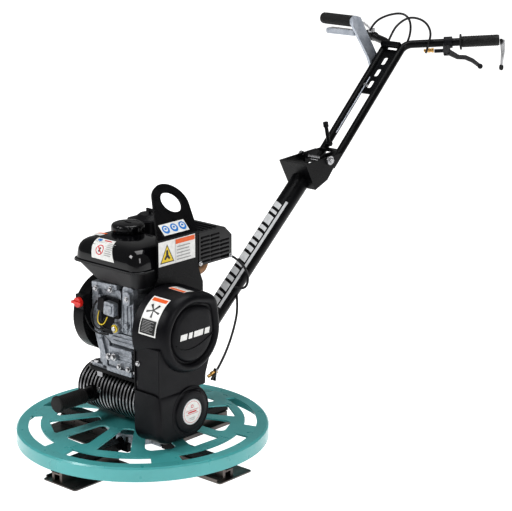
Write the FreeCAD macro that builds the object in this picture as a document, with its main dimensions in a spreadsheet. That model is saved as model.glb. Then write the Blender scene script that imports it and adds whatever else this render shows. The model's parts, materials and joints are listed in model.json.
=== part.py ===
import FreeCAD, Part
import math
import os
import re

from FreeCAD import Placement, Rotation, Vector

# Walk-behind edging power trowel, in millimetres. Origin on the floor under the
# rotor's axis: +Z up, +Y back to the operator, +X to the belt guard's side.

X = Vector(1, 0, 0)
Y = Vector(0, 1, 0)
Z = Vector(0, 0, 1)

DRIVING_DIMENSIONS = {
    # guard ring
    "ring_radius": 305, "ring_top": 74, "ring_bottom": 40, "ring_sheet": 4, "rim_inner": 276,
    "slot_inner": 247, "spoke_outer": 226, "hub_plate_radius": 112, "hub_plate_top": 92,
    "hub_window_inner": 104, "ring_sectors": 6, "ring_turn": -3,
    # neck on which the ring turns
    "neck_radius": 34, "neck_bottom": 76, "neck_flange": 41, "running_gap": 0.05, "free_gap": 0.4,
    # worm gearbox
    "worm_y": -40, "worm_z": 158, "fin_radius": 58, "case_radius": 48, "fin_pitch": 11.4,
    "fin_thickness": 4.5, "fin_count": 20, "case_left": -120, "case_right": 108, "bowl_radius": 46,
    "bowl_bottom": 101, "bowl_top": 204, "worm_bore": 18.5, "wheel_room": 32,
    "worm_pitch_radius": 14, "wheel_pitch_radius": 26, "wheel_teeth": 20, "wheel_face": 10,
    "tooth_width": 3.4, "addendum": 2.2, "dedendum": 2.6,
    "worm_shaft_radius": 10, "output_radius": 12.5, "input_end_radius": 9.5,
    "worm_bearing_radius": 23.5, "worm_bearing_width": 14,
    "output_bearing_radius": 26, "output_bearing_width": 15,
    # rotor
    "arm_axis_z": 44, "spider_radius": 75, "spider_low": 31, "spider_high": 58, "arm_pin": 11,
    "arm_count": 4, "arm_width": 26, "arm_height": 17, "arm_end": 288, "finger_offset": 28,
    "blade_inner": 92, "blade_outer": 291, "blade_lead": 38, "blade_trail": 72,
    "blade_thickness": 3, "plate_radius": 92, "plate_thickness": 6, "plate_low": 66,
    # engine
    "crank_y": -40, "crank_z": 350, "deck_low": 222, "deck_thickness": 8, "crank_radius": 12.5,
    "cylinder_tilt": 18, "blower_radius": 94, "blower_left": -92, "blower_right": -58,
    "tank_left": -112, "tank_right": 106, "tank_front": -115, "tank_back": 58, "tank_seam": 487,
    "tank_top": 541, "tank_floor": 446, "tank_wall": 3, "cap_x": -44, "cap_y": 4, "cap_radius": 40,
    # belt drive
    "belt_plane": 166, "belt_width": 12, "driven_radius": 48, "drive_radius": 38,
    "guard_back": 122, "guard_sheet": 3, "guard_front": 202, "guard_dome": 214, "guard_relief": 7,
    "upper_lobe": 101, "lower_lobe": 65,
    # lifting bracket
    "bracket_x": 112, "bracket_sheet": 6, "bracket_bend_z": 556, "bracket_lean": 44,
    "eye_radius": 29, "eye_rise": 85, "eye_y": 49, "eye_rim": 51,
    # handle
    "tube_radius": 25, "tube_wall": 3, "hinge_y": 641, "hinge_z": 623, "box_half_width": 45,
    "box_sheet": 4, "pin_radius": 6, "rail_radius": 10.5, "rail_wall": 2.5, "rail_x": 28,
    "grip_radius": 14, "cable_radius": 3, "carry_x": -70, "carry_z": 156, "carry_radius": 13.5,
}

doc = FreeCAD.newDocument("PowerTrowel")
sheet = doc.addObject("Spreadsheet::Sheet", "Dimensions")
SUBPARTS = {}


def fill_sheet():
    for row, (alias, value) in enumerate(DRIVING_DIMENSIONS.items(), start=1):
        sheet.set(f"A{row}", alias)
        sheet.set(f"B{row}", str(value))
        sheet.setAlias(f"B{row}", alias)
    doc.recompute()


def dim(alias):
    return float(sheet.get(alias))


def bind(feature, **sizes):
    """Ties each property to a formula over the sheet's aliases."""
    for name, formula in sizes.items():
        aliases = re.sub(r"[a-z][a-z_]+", lambda word: "Dimensions." + word.group(), str(formula))
        feature.setExpression(name, aliases)


def facing(origin, direction):
    return Placement(Vector(*origin), Rotation(Z, Vector(direction)))


def keep(label, feature):
    feature.Label = label
    SUBPARTS[label] = feature
    return feature


# ---------------------------------------------------------------- building blocks


def cylinder(radius, length, origin, direction=Z):
    rod = doc.addObject("Part::Cylinder", "Rod")
    bind(rod, Radius=radius, Height=length)
    rod.Placement = facing(origin, direction)
    return rod


def cone(start_radius, end_radius, length, origin, direction=Z):
    taper = doc.addObject("Part::Cone", "Taper")
    bind(taper, Radius1=start_radius, Radius2=end_radius, Height=length)
    taper.Placement = facing(origin, direction)
    return taper


def block(low, high, turn=None):
    """Box between two corners, turned about Z by an angle if given."""
    box = doc.addObject("Part::Box", "Block")
    box.Length = high[0] - low[0]
    box.Width = high[1] - low[1]
    box.Height = high[2] - low[2]
    rotation = Rotation(Z, turn or 0)
    box.Placement = Placement(rotation.multVec(Vector(*low)), rotation)
    return box


def fused(pieces):
    whole = doc.addObject("Part::MultiFuse", "Joined")
    whole.Shapes = pieces
    return whole


def carved(base, tools):
    result = doc.addObject("Part::Cut", "Carved")
    result.Base = base
    result.Tool = tools[0] if len(tools) == 1 else fused(tools)
    return result


def grouped(pieces):
    """Separate solids that share one node."""
    group = doc.addObject("Part::Compound", "Group")
    group.Links = pieces
    return group


def softened(base, radius, chosen):
    """Rounds the edges that a test picks from the finished base."""
    doc.recompute()
    edges = [n for n, edge in enumerate(base.Shape.Edges, start=1) if chosen(edge)]
    result = doc.addObject("Part::Fillet", "Softened")
    result.Base = base
    result.Edges = [(n, radius, radius) for n in edges]
    return result


def rounded_corners(points, radii):
    """Closed outline through the points, with a tangent arc at each corner that has a radius."""
    corners = []
    for n, point in enumerate(points):
        before = Vector(*points[n - 1], 0) - Vector(*point, 0)
        after = Vector(*points[(n + 1) % len(points)], 0) - Vector(*point, 0)
        corner = Vector(*point, 0)
        if not radii[n]:
            corners.append((corner, None, corner))
            continue
        half = before.getAngle(after) / 2
        back = radii[n] / math.tan(half)
        to_centre = (before.normalize() + after.normalize()).normalize()
        middle = corner + to_centre * (radii[n] / math.sin(half) - radii[n])
        corners.append((corner + before * back, middle, corner + after * back))
    edges = []
    for n, (start, middle, end) in enumerate(corners):
        if middle:
            edges.append(Part.Arc(start, middle, end))
        following = corners[(n + 1) % len(corners)][0]
        if (following - end).Length > 1e-6:
            edges.append(Part.LineSegment(end, following))
    return edges


def polygon(points, radius=0):
    return rounded_corners(points, [radius] * len(points))


def circle(centre, radius):
    return [Part.Circle(Vector(*centre, 0), Z, radius)]


def belt_outline(low_centre, low_radius, high_centre, high_radius):
    """Two circles joined by their outer tangents, the high one straight above the low one."""
    rise = high_centre[1] - low_centre[1]
    tilt = math.asin((low_radius - high_radius) / rise)
    side = Vector(math.cos(tilt), math.sin(tilt), 0)
    other = Vector(-math.cos(tilt), math.sin(tilt), 0)
    low = Vector(*low_centre, 0)
    high = Vector(*high_centre, 0)
    right = (low + side * low_radius, high + side * high_radius)
    left = (high + other * high_radius, low + other * low_radius)
    return [
        Part.LineSegment(*right),
        Part.Arc(right[1], high + Vector(0, high_radius, 0), left[0]),
        Part.LineSegment(*left),
        Part.Arc(left[1], low - Vector(0, low_radius, 0), right[0]),
    ]


def new_body():
    return doc.addObject("PartDesign::Body", "Body")


def origin_plane(body, role):
    return next(plane for plane in body.Origin.OriginFeatures if plane.Role == role)


def sketch_on(body, role, outlines):
    sketch = body.newObject("Sketcher::SketchObject", "Outline")
    sketch.AttachmentSupport = [(origin_plane(body, role), "")]
    sketch.MapMode = "FlatFace"
    for outline in outlines:
        sketch.addGeometry(outline, False)
    return sketch


def padded(outlines, thickness, placement):
    """Plate of the first outline, less the others, raised along the placement's Z."""
    body = new_body()
    pad = body.newObject("PartDesign::Pad", "Plate")
    pad.Profile = sketch_on(body, "XY_Plane", outlines)
    bind(pad, Length=thickness)
    body.Placement = placement
    return body


def turned(profile, placement):
    """Solid of revolution about the placement's Z, from points of radius and height."""
    body = new_body()
    turning = body.newObject("PartDesign::Revolution", "Turning")
    turning.Profile = sketch_on(body, "XZ_Plane", [polygon(profile)])
    turning.ReferenceAxis = (origin_plane(body, "Z_Axis"), [""])
    turning.Angle = 360
    body.Placement = placement
    return body


def yz_plane(x):
    """Placement whose X, Y and Z run along the frame's Y, Z and X."""
    return Placement(Vector(x, 0, 0), Rotation(Y, Z, X, "XYZ"))


def route(points, bend=None):
    """Straight runs joined by tangent arcs, each as large as its two runs allow."""
    points = [Vector(*point) for point in points]
    edges = []
    start = points[0]
    for before, corner, after in zip(points, points[1:], points[2:]):
        back = (before - corner).normalize()
        ahead = (after - corner).normalize()
        half = back.getAngle(ahead) / 2
        shorter = min((before - corner).Length, (after - corner).Length)
        radius = bend or 0.45 * shorter * math.tan(half)
        reach = radius / math.tan(half)
        inward = (back + ahead).normalize() * (radius / math.sin(half) - radius)
        edges.append(Part.LineSegment(start, corner + back * reach).toShape())
        edges.append(Part.Arc(corner + back * reach, corner + inward, corner + ahead * reach).toShape())
        start = corner + ahead * reach
        if not bend:
            print("   bend radius", round(radius, 1))
    edges.append(Part.LineSegment(start, points[-1]).toShape())
    return Part.Wire(edges)


def swept(radius, points, bend=None, bore=0):
    """Round bar or tube along a route."""
    wire = route(points, bend)
    ahead = Vector(*points[1]) - Vector(*points[0])
    sections = []
    for each in (radius, bore):
        if each:
            ring = Part.Circle(Vector(*points[0]), ahead, each).toShape()
            sections.append(wire.makePipeShell([Part.Wire([ring])], True, True))
    feature = doc.addObject("Part::Feature", "Swept")
    feature.Shape = sections[0].cut(sections[1]) if bore else sections[0]
    expected = math.pi * (radius ** 2 - bore ** 2) * wire.Length
    print("   swept volume ratio", round(feature.Shape.Volume / expected, 4))
    return feature


# ---------------------------------------------------------------- guard ring


def ring_window(body, radii, half_angles, centre, corner):
    """Window with straight sides between two radii, cut upwards and repeated round the ring."""
    points = []
    for radius, half in ((radii[0], half_angles[0]), (radii[1], half_angles[1])):
        sides = (-half, half) if radius == radii[0] else (half, -half)
        for side in sides:
            angle = math.radians(centre + side)
            points.append((radius * math.cos(angle), radius * math.sin(angle)))
    return ring_pocket(body, polygon(points, corner))


def ring_arc_slot(body, inner, outer, half_angle, centre):
    corners = {}
    for radius in (inner, outer):
        for side in (-1, 0, 1):
            angle = math.radians(centre + side * half_angle)
            corners[radius, side] = Vector(radius * math.cos(angle), radius * math.sin(angle), 0)
    outline = [
        Part.Arc(corners[inner, -1], corners[inner, 0], corners[inner, 1]),
        Part.LineSegment(corners[inner, 1], corners[outer, 1]),
        Part.Arc(corners[outer, 1], corners[outer, 0], corners[outer, -1]),
        Part.LineSegment(corners[outer, -1], corners[inner, -1]),
    ]
    return ring_pocket(body, outline)


def ring_pocket(body, outline):
    pocket = body.newObject("PartDesign::Pocket", "Window")
    pocket.Profile = sketch_on(body, "XY_Plane", [outline])
    pocket.Type = "ThroughAll"
    pocket.Reversed = True
    return pocket


def guard_ring():
    sheet_t = dim("ring_sheet")
    top, bottom, rim = dim("ring_top"), dim("ring_bottom"), dim("ring_radius")
    hub_top, hub_r = dim("hub_plate_top"), dim("hub_plate_radius")
    bore = dim("neck_radius") + dim("running_gap")
    sleeve = bore + 8
    hub_low = dim("neck_bottom") + 4 + dim("free_gap")
    sleeve_top = dim("worm_z") - dim("fin_radius") - 1
    round_off = 4
    profile = [
        (bore, hub_low), (sleeve, hub_low), (sleeve, hub_top - sheet_t), (hub_r, hub_top - sheet_t),
        (dim("rim_inner"), top - sheet_t), (rim - sheet_t, top - sheet_t), (rim - sheet_t, bottom),
        (rim, bottom), (rim, top - round_off), (rim - round_off, top), (dim("rim_inner"), top),
        (hub_r, hub_top), (sleeve, hub_top), (sleeve, sleeve_top), (bore, sleeve_top),
    ]
    body = turned(profile, Placement())
    sector = 360 / dim("ring_sectors")
    centre = dim("ring_turn")
    windows = [
        ring_arc_slot(body, dim("slot_inner"), dim("rim_inner"), 22.5, centre),
        ring_window(body, (dim("hub_window_inner"), dim("spoke_outer")), (7.5, 11), centre, 6),
        ring_window(body, (116, dim("spoke_outer") - 8), (8, 10.5), centre + sector / 2, 16),
    ]
    pattern = body.newObject("PartDesign::PolarPattern", "Sectors")
    pattern.Originals = windows
    pattern.Axis = (origin_plane(body, "Z_Axis"), [""])
    pattern.Angle = 360
    bind(pattern, Occurrences="ring_sectors")
    body.Tip = pattern
    keep("guard_ring", body)


# ---------------------------------------------------------------- gearbox


def gearbox_housing():
    left, right = dim("case_left"), dim("case_right")
    inner, outer = dim("case_radius"), dim("fin_radius")
    bore, seat = dim("worm_bore"), dim("worm_bearing_radius")
    width = dim("worm_bearing_width")
    comb = [(seat, left), (inner, left)]
    for n in range(int(dim("fin_count"))):
        start = left + 4 + n * dim("fin_pitch")
        end = start + dim("fin_thickness")
        comb += [(inner, start), (outer, start), (outer, end), (inner, end)]
    comb += [(inner, right), (seat, right), (seat, right - width), (bore, right - width)]
    comb += [(bore, left + width), (seat, left + width)]
    axis = Placement(Vector(0, dim("worm_y"), dim("worm_z")), Rotation(Z, X))
    case = turned(comb, axis)
    bowl = fused([
        cylinder("bowl_radius", "bowl_top - bowl_bottom", (0, 0, dim("bowl_bottom"))),
        cylinder("neck_radius", "bowl_bottom - neck_bottom", (0, 0, dim("neck_bottom"))),
        cylinder("neck_flange", "4", (0, 0, dim("neck_bottom"))),
    ])
    core = carved(bowl, [cylinder("worm_bore", "bowl_radius * 2",
                                  (-dim("bowl_radius"), dim("worm_y"), dim("worm_z")), X)])
    seat_low = dim("bowl_bottom") + 7
    seat_high = dim("bowl_top") - dim("output_bearing_width")
    rooms = [
        cylinder("wheel_room", f"{seat_high - seat_low - 24}", (0, 0, seat_low + 18)),
        cylinder("output_bearing_radius", "output_bearing_width", (0, 0, seat_low)),
        cylinder("output_bearing_radius", "output_bearing_width", (0, 0, seat_high)),
        cylinder("output_radius + 1", "200", (0, 0, 50)),
        cylinder("bowl_radius + free_gap", "20", (0, 0, dim("bowl_top"))),
    ]
    saddles = [block((x, -84, 196), (x + 18, 4, dim("deck_low"))) for x in (-68, 66)]
    saddles.append(block((-114, -62, 196), (-88, -18, dim("deck_low") - 4)))
    whole = fused([case, core] + [saddle_on_case(saddle) for saddle in saddles])
    keep("gearbox_housing", carved(whole, rooms))
    bearings(seat_low, seat_high)
    gearbox_covers()


def saddle_on_case(saddle):
    """Deck support, cut to sit on the case without filling its bore."""
    hollow = cylinder("case_radius - 4", "400", (-200, dim("worm_y"), dim("worm_z")), X)
    return carved(saddle, [hollow])


def bearing(outer, bore, width, origin, direction):
    ring = cylinder(outer, width, origin, direction)
    return carved(ring, [cylinder(bore + " + running_gap", width, origin, direction)])


def bearings(seat_low, seat_high):
    worm = (dim("worm_y"), dim("worm_z"))
    worm_places = [dim("case_left"), dim("case_right") - dim("worm_bearing_width")]
    rings = [bearing("worm_bearing_radius", "worm_shaft_radius", "worm_bearing_width", (x, *worm), X)
             for x in worm_places]
    rings += [bearing("output_bearing_radius", "output_radius", "output_bearing_width", (0, 0, z), Z)
              for z in (seat_low, seat_high)]
    keep("bearings", grouped(rings))


def gearbox_covers():
    worm = (dim("worm_y"), dim("worm_z"))
    left = dim("case_left")
    end_cap = fused([
        cylinder("fin_radius - 4", "6", (left - 6, *worm), X),
        cylinder("worm_bearing_radius - 3", "5", (left - 11, *worm), X),
    ])
    recess = cylinder("worm_shaft_radius + 2", "8", (left - 8, *worm), X)
    lid = cylinder("bowl_radius", "6", (0, 0, dim("bowl_top")))
    right_plate = carved(cylinder("fin_radius - 4", "6", (dim("case_right"), *worm), X),
                         [cylinder("worm_shaft_radius + 1", "6", (dim("case_right"), *worm), X)])
    keep("gearbox_covers", grouped([carved(end_cap, [recess]), lid, right_plate]))


def worm_pitch():
    return 2 * math.pi * dim("wheel_pitch_radius") / dim("wheel_teeth")


def worm_shaft():
    pitch = worm_pitch()
    turns = 5
    root = dim("worm_pitch_radius") - dim("dedendum")
    tip = dim("worm_pitch_radius") + dim("addendum")
    flank = math.tan(math.radians(20))
    half_tip = dim("tooth_width") / 2 - dim("addendum") * flank
    half_root = dim("tooth_width") / 2 + dim("dedendum") * flank
    helix = Part.makeHelix(pitch, pitch * turns, root)
    section = Part.makePolygon([Vector(root - 0.6, 0, -half_root), Vector(tip, 0, -half_tip),
                                Vector(tip, 0, half_tip), Vector(root - 0.6, 0, half_root),
                                Vector(root - 0.6, 0, -half_root)])
    thread = Part.Wire(helix.Edges).makePipeShell([section], True, True)
    start = -(turns // 2) * pitch - pitch / 4
    thread.Placement = Placement(Vector(start, dim("worm_y"), dim("worm_z")), Rotation(Y, 90))
    thread_feature = doc.addObject("Part::Feature", "Thread")
    thread_feature.Shape = thread
    place = Placement(Vector(0, dim("worm_y"), dim("worm_z")), Rotation(Z, X))
    journal, end = dim("worm_shaft_radius"), dim("input_end_radius")
    left, half = dim("case_left") + 1, (turns / 2 + 1) * pitch
    core = turned([(0, left), (journal, left), (journal, -half), (root, -half), (root, half),
                   (journal, half), (journal, 150), (end, 150), (end, 182), (end - 1, 183),
                   (0, 183)], place)
    keep("worm_shaft", fused([core, thread_feature]))


def worm_wheel():
    pitch_r, teeth = dim("wheel_pitch_radius"), int(dim("wheel_teeth"))
    root, tip = pitch_r - dim("dedendum"), pitch_r + dim("addendum")
    flank = math.tan(math.radians(20))
    half_tip = dim("tooth_width") / 2 - dim("addendum") * flank
    half_root = dim("tooth_width") / 2 + dim("dedendum") * flank
    outline = []
    for n in range(teeth):
        # a gap, not a tooth, faces the worm
        along = Rotation(Z, 360 * (n + 0.5) / teeth - 90)
        for radius, side in ((root, -half_root), (tip, -half_tip), (tip, half_tip), (root, half_root)):
            point = along.multVec(Vector(radius, side, 0))
            outline.append((point.x, point.y))
    low = dim("worm_z") - dim("wheel_face") / 2
    place = Placement(Vector(0, 0, low), Rotation())
    wheel = padded([polygon(outline), circle((0, 0), dim("output_radius"))], "wheel_face", place)
    hub = carved(cylinder("output_radius + 6", "8", (0, 0, low - 8)),
                 [cylinder("output_radius", "8", (0, 0, low - 8))])
    keep("worm_wheel", fused([wheel, hub]))


def output_shaft():
    shaft_r = dim("output_radius")
    low, high = dim("spider_low") - 10, dim("bowl_top") - 1
    shaft = turned([(0, low), (8, low), (8, low + 9), (shaft_r, low + 9), (shaft_r, high - 1),
                    (shaft_r - 1, high), (0, high)], Placement())
    nut = carved(cylinder("output_radius + 4", "8", (0, 0, low + 1)), [cylinder("8", "8", (0, 0, low + 1))])
    keep("output_shaft", grouped([shaft, nut]))


# ---------------------------------------------------------------- rotor


def radial(angle, inner, side, height):
    """Point beside an arm: distance out, distance round to its left, and height."""
    turn = Rotation(Z, angle)
    return turn.multVec(Vector(inner, side, height))


def arm_angles():
    count = int(dim("arm_count"))
    return [360 / count * n for n in range(count)]


def spider():
    low, high = dim("spider_low"), dim("spider_high")
    hub = cylinder("spider_radius - 27", "spider_high - spider_low", (0, 0, low))
    sockets = []
    bores = [cylinder("output_radius", "60", (0, 0, low))]
    for angle in arm_angles():
        sockets.append(block((0, -17, low), (dim("spider_radius"), 17, high - 1), angle))
        start = radial(angle, 26, 0, dim("arm_axis_z"))
        outward = radial(angle, 1, 0, 0)
        bores.append(cylinder("arm_pin + running_gap", "80", start, outward))
    keep("spider", carved(fused([hub] + sockets), bores))


def trowel_arm(angle):
    axis_z, reach = dim("arm_axis_z"), dim("spider_radius") + dim("free_gap")
    outward = radial(angle, 1, 0, 0)
    pin_start = 27
    half = dim("arm_width") / 2
    low = axis_z - dim("arm_height")
    pin = cylinder("arm_pin", f"{reach - pin_start + 2}", radial(angle, pin_start, 0, axis_z), outward)
    bar = block((reach, -half, low), (dim("arm_end"), half, axis_z + 3), angle)
    lug = block((reach, -half, low), (reach + 12, dim("finger_offset") + 7, axis_z + 3), angle)
    tip = radial(angle, reach + 6, dim("finger_offset"), axis_z)
    screw = cylinder("3", f"{dim('plate_low') - dim('free_gap') - axis_z}", tip)
    return fused([pin, bar, lug, screw])


def blade(angle):
    inner, outer = dim("blade_inner"), dim("blade_outer")
    lead, trail = dim("blade_lead"), dim("blade_trail")
    thick = dim("blade_thickness")
    low_arm = dim("arm_axis_z") - dim("arm_height")
    place = Placement(Vector(), Rotation(Z, angle))
    outline = polygon([(inner, -lead), (outer, -lead), (outer, trail), (inner, trail)], 6)
    leaf = padded([outline], "blade_thickness", place)
    channel = block((inner + 6, -17, thick), (outer - 10, 17, low_arm), angle)
    hollow = block((inner, -9, thick), (outer, 9, low_arm - 8), angle)
    lip = block((inner + 10, -lead, thick), (outer - 10, -lead + 3, thick + 6), angle)
    return fused([leaf, carved(channel, [hollow]), lip])


def rotor():
    spider()
    for n, angle in enumerate(arm_angles(), start=1):
        keep(f"trowel_arm_{n}", trowel_arm(angle))
        keep(f"blade_{n}", blade(angle))
    low = dim("plate_low")
    disc = fused([
        cylinder("plate_radius", "plate_thickness", (0, 0, low)),
        cylinder("output_radius + 10", "plate_thickness + 2", (0, 0, low)),
    ])
    hole = cylinder("output_radius + running_gap", "40", (0, 0, low - 5))
    keep("pressure_plate", carved(disc, [hole]))


# ---------------------------------------------------------------- engine


def crank_point(x):
    return (x, dim("crank_y"), dim("crank_z"))


def cylinder_direction():
    tilt = math.radians(dim("cylinder_tilt"))
    return Vector(0, math.cos(tilt), math.sin(tilt))


def along_cylinder(distance):
    return Vector(*crank_point(12)) + cylinder_direction() * distance


def is_upright(edge):
    tangent = edge.tangentAt(edge.FirstParameter)
    return abs(tangent.z) > 0.999 and edge.Curve.TypeId == "Part::GeomLine"


def engine_crankcase():
    deck_top = dim("deck_low") + dim("deck_thickness")
    box = softened(block((-50, -92, deck_top + 7), (78, 18, 402)), 12, is_upright)
    foot = block((-60, -106, deck_top), (88, 32, deck_top + 9))
    outside = fused([
        box, foot,
        cylinder("50", "20", crank_point(77), X),
        cylinder("24", "12", crank_point(96), X),
        cylinder("42", "85", crank_point(12), cylinder_direction()),
    ])
    room = block((-42, -84, deck_top + 16), (70, 10, 392))
    through = [
        cylinder("crank_radius + running_gap", "200", crank_point(-80), X),
        cylinder("34", "100", crank_point(12), cylinder_direction()),
    ]
    bolt_holes = [cylinder("4.7", "30", (x, y, deck_top - 1)) for x, y in deck_bolt_places()]
    keep("engine_crankcase", carved(outside, [room] + through + bolt_holes))


def crankshaft():
    place = facing(crank_point(0), X)
    main, end = dim("crank_radius"), dim("input_end_radius")
    web_radius, throw, throw_half = 32, 16, 11
    left = turned([(0, -114), (main - 3, -114), (main - 3, -56), (main, -56), (main, 0), (0, 0)], place)
    right = turned([(0, 24), (main, 24), (main, 108), (end, 108), (end, 184), (0, 184)], place)
    webs = [cylinder(str(web_radius), "8", crank_point(x), X) for x in (-8, 24)]
    pin = cylinder(str(throw_half), "40", (-8, dim("crank_y"), dim("crank_z") - throw), X)
    keep("crankshaft", fused([left, right, pin] + webs))
    flywheel = turned([(main - 3, -88), (30, -88), (34, -76), (80, -76), (80, -64), (main - 3, -64)], place)
    keep("flywheel", flywheel)


def engine_cylinder():
    tilt = cylinder_direction()
    comb = [(30, 85)]
    for n in range(5):
        comb += [(34, 87 + 10 * n), (50, 87 + 10 * n), (50, 91 + 10 * n), (34, 91 + 10 * n)]
    comb += [(34, 135), (46, 135), (46, 158), (0, 158), (0, 132), (30, 132)]
    place = facing(crank_point(12), tilt)
    keep("engine_cylinder", turned(comb, place))
    cover = doc.addObject("Part::Box", "RockerCover")
    cover.Length, cover.Width, cover.Height = 64, 70, 24
    cover.Placement = Placement(along_cylinder(158) - X * 32, Rotation(X, Vector(0, tilt.z, -tilt.y), tilt))
    cover.Placement.Base = cover.Placement.Base - cover.Placement.Rotation.multVec(Vector(0, 35, 0))
    keep("rocker_cover", softened(cover, 8, lambda edge: edge.Length < 25))


def blower_and_starter():
    left, right, radius = dim("blower_left"), dim("blower_right"), dim("blower_radius")
    axis = facing(crank_point(0), X)
    wall = 3
    drum = turned([(radius - wall, left), (radius, left), (radius, right), (40, right), (40, right - wall),
                   (radius - wall, right - wall)], axis)
    boss = block((-84, -132, 374), (-58, -112, 408))
    inside = cylinder("blower_radius - 1", "70", crank_point(left + 2), X)
    keep("blower_housing", fused([drum, carved(boss, [inside])]))
    dome = [(radius, left), (radius - 8, left - 8), (radius - 19, left - 20), (radius - 32, left - 31),
            (0, left - 32), (0, left - 29), (radius - 33, left - 28), (radius - 22, left - 18),
            (radius - 11, left - 7), (radius - wall - 1, left)]
    recoil = turned(dome, axis)
    mouth = cylinder("6", "30", (left - 14, dim("crank_y") + 60, dim("crank_z") + 50), Vector(0, 1, 0.4))
    keep("recoil_cover", carved(recoil, [mouth]))
    grip_low = (left - 14, dim("crank_y") + 84, dim("crank_z") + 61)
    grip = softened(cylinder("9", "56", (grip_low[0] - 28, grip_low[1] + 6, grip_low[2] + 2), X), 5,
                    lambda edge: edge.Curve.TypeId == "Part::GeomCircle")
    keep("starter_grip", grip)


def tank_corners(left_in, right_in, ends_in):
    """Corners of the tank's plan, each side moved inwards by its own amount."""
    left, right = dim("tank_left") + left_in, dim("tank_right") - right_in
    front, back = dim("tank_front") + ends_in, dim("tank_back") - ends_in
    return [(left, front), (right, front), (right, back), (left, back)]


def tank_flange(low):
    """Flat lip that runs round the seam; the two halves are joined through it."""
    return padded([polygon(tank_corners(-5, -5, -5), 30)], "3", Placement(Vector(0, 0, low), Rotation()))


def tank_tub(wall, low, high):
    """Lower half of the tank, tapering from the seam to a shorter floor over the deck."""
    sections = []
    for corners, height in ((tank_corners(56 + wall, 6 + wall, 12 + wall), low),
                            (tank_corners(wall, wall, wall), high)):
        section = Part.Wire([edge.toShape() for edge in polygon(corners, 26 - wall)])
        section.translate(Vector(0, 0, height))
        sections.append(section)
    feature = doc.addObject("Part::Feature", "Tub")
    feature.Shape = Part.makeLoft(sections, True, True)
    return feature


def fuel_tank_upper():
    seam, top, wall = dim("tank_seam"), dim("tank_top"), dim("tank_wall")
    at_seam = Placement(Vector(0, 0, seam), Rotation())
    outer = softened(padded([polygon(tank_corners(0, 0, 0), 26)], f"{top - seam}", at_seam),
                     18, lambda edge: edge.CenterOfMass.z > top - 0.01)
    room = padded([polygon(tank_corners(wall, wall, wall), 23)], f"{top - seam - 12}", at_seam)
    neck = cylinder("26", "14", (dim("cap_x"), dim("cap_y"), top - 4))
    throat = cylinder("20", "40", (dim("cap_x"), dim("cap_y"), top - 20))
    keep("fuel_tank_upper", carved(fused([outer, tank_flange(seam), neck]), [room, throat]))


def fuel_tank_lower():
    seam, floor, wall = dim("tank_seam"), dim("tank_floor"), dim("tank_wall")
    outer = fused([tank_tub(0, floor, seam), tank_flange(seam - 3)])
    keep("fuel_tank_lower", carved(outer, [tank_tub(wall, floor + wall, seam)]))


def fuel_cap():
    low = dim("tank_top") + 2
    radius = dim("cap_radius")
    profile = [(27, low), (radius, low), (radius, low + 22), (radius - 3, low + 27), (0, low + 29),
               (0, low + 12), (27, low + 12)]
    place = Placement(Vector(dim("cap_x"), dim("cap_y"), 0), Rotation())
    keep("fuel_cap", turned(profile, place))


def intake_and_exhaust():
    case = softened(block((-122, 68, 462), (-42, 162, 548)), 16, is_upright)
    lid = cone("38", "26", "10", (-82, 115, 548))
    stud = cylinder("3", "12", (-82, 115, 557))
    wing = block((-93, 113, 562), (-71, 117, 570))
    keep("air_cleaner", fused([case, lid, stud, wing]))
    keep("carburetor", fused([
        block((-98, 84, 418), (-62, 116, 462)),
        cylinder("14", "16", (-80, 100, 404)),
    ]))
    can = softened(block((-24, 138, 462), (62, 228, 516)), 14, lambda edge: edge.Length > 60)
    pipe = swept(11, [(64, 104, 433), (60, 152, 440), (48, 172, 476)], 26)
    keep("muffler", fused([can, pipe]))
    low, high = (-36, 126, 450), (72, 240, 532)
    shell = softened(block(low, high), 5, lambda edge: edge.CenterOfMass.z > 500)
    room = block((low[0] + 2, low[1] + 2, low[2]), (high[0] - 2, high[1] - 2, high[2] - 4))
    slots = []
    for n in range(6):
        z = 460 + n * 10
        slots.append(block((68, 140, z), (75, 228, z + 4)))
        slots.append(block((-24, 236, z), (60, 243, z + 4)))
    for n in range(5):
        slots.append(block((-20 + n * 18, 146, 525), (-14 + n * 18, 220, 535)))
    keep("muffler_guard", carved(shell, [room] + slots))


def engine_switch():
    centre = (-70, -132.4, 391)
    knob = cylinder("12", "9", centre, -Y)
    x, y, z = centre
    bar = block((x - 16, y - 13, z - 3), (x + 16, y - 6, z + 3))
    keep("engine_switch", fused([knob, bar]))


def deck_bolt_places():
    return [(x, y) for x in (-50, 78) for y in (-99, 25)]


def engine_deck():
    low, thick = dim("deck_low"), dim("deck_thickness")
    outline = polygon([(-72, -112), (118, -112), (118, 70), (-72, 70)], 14)
    holes = [circle(place, 4.7) for place in deck_bolt_places()]
    keep("engine_deck", padded([outline] + holes, "deck_thickness", Placement(Vector(0, 0, low), Rotation())))
    bolts = []
    for x, y in deck_bolt_places():
        bolts.append(fused([cylinder("4.5", f"{thick + 9}", (x, y, low)),
                            cylinder("8", "6", (x, y, low + thick + 9))]))
    keep("deck_bolts", grouped(bolts))


# ---------------------------------------------------------------- lifting bracket


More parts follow.
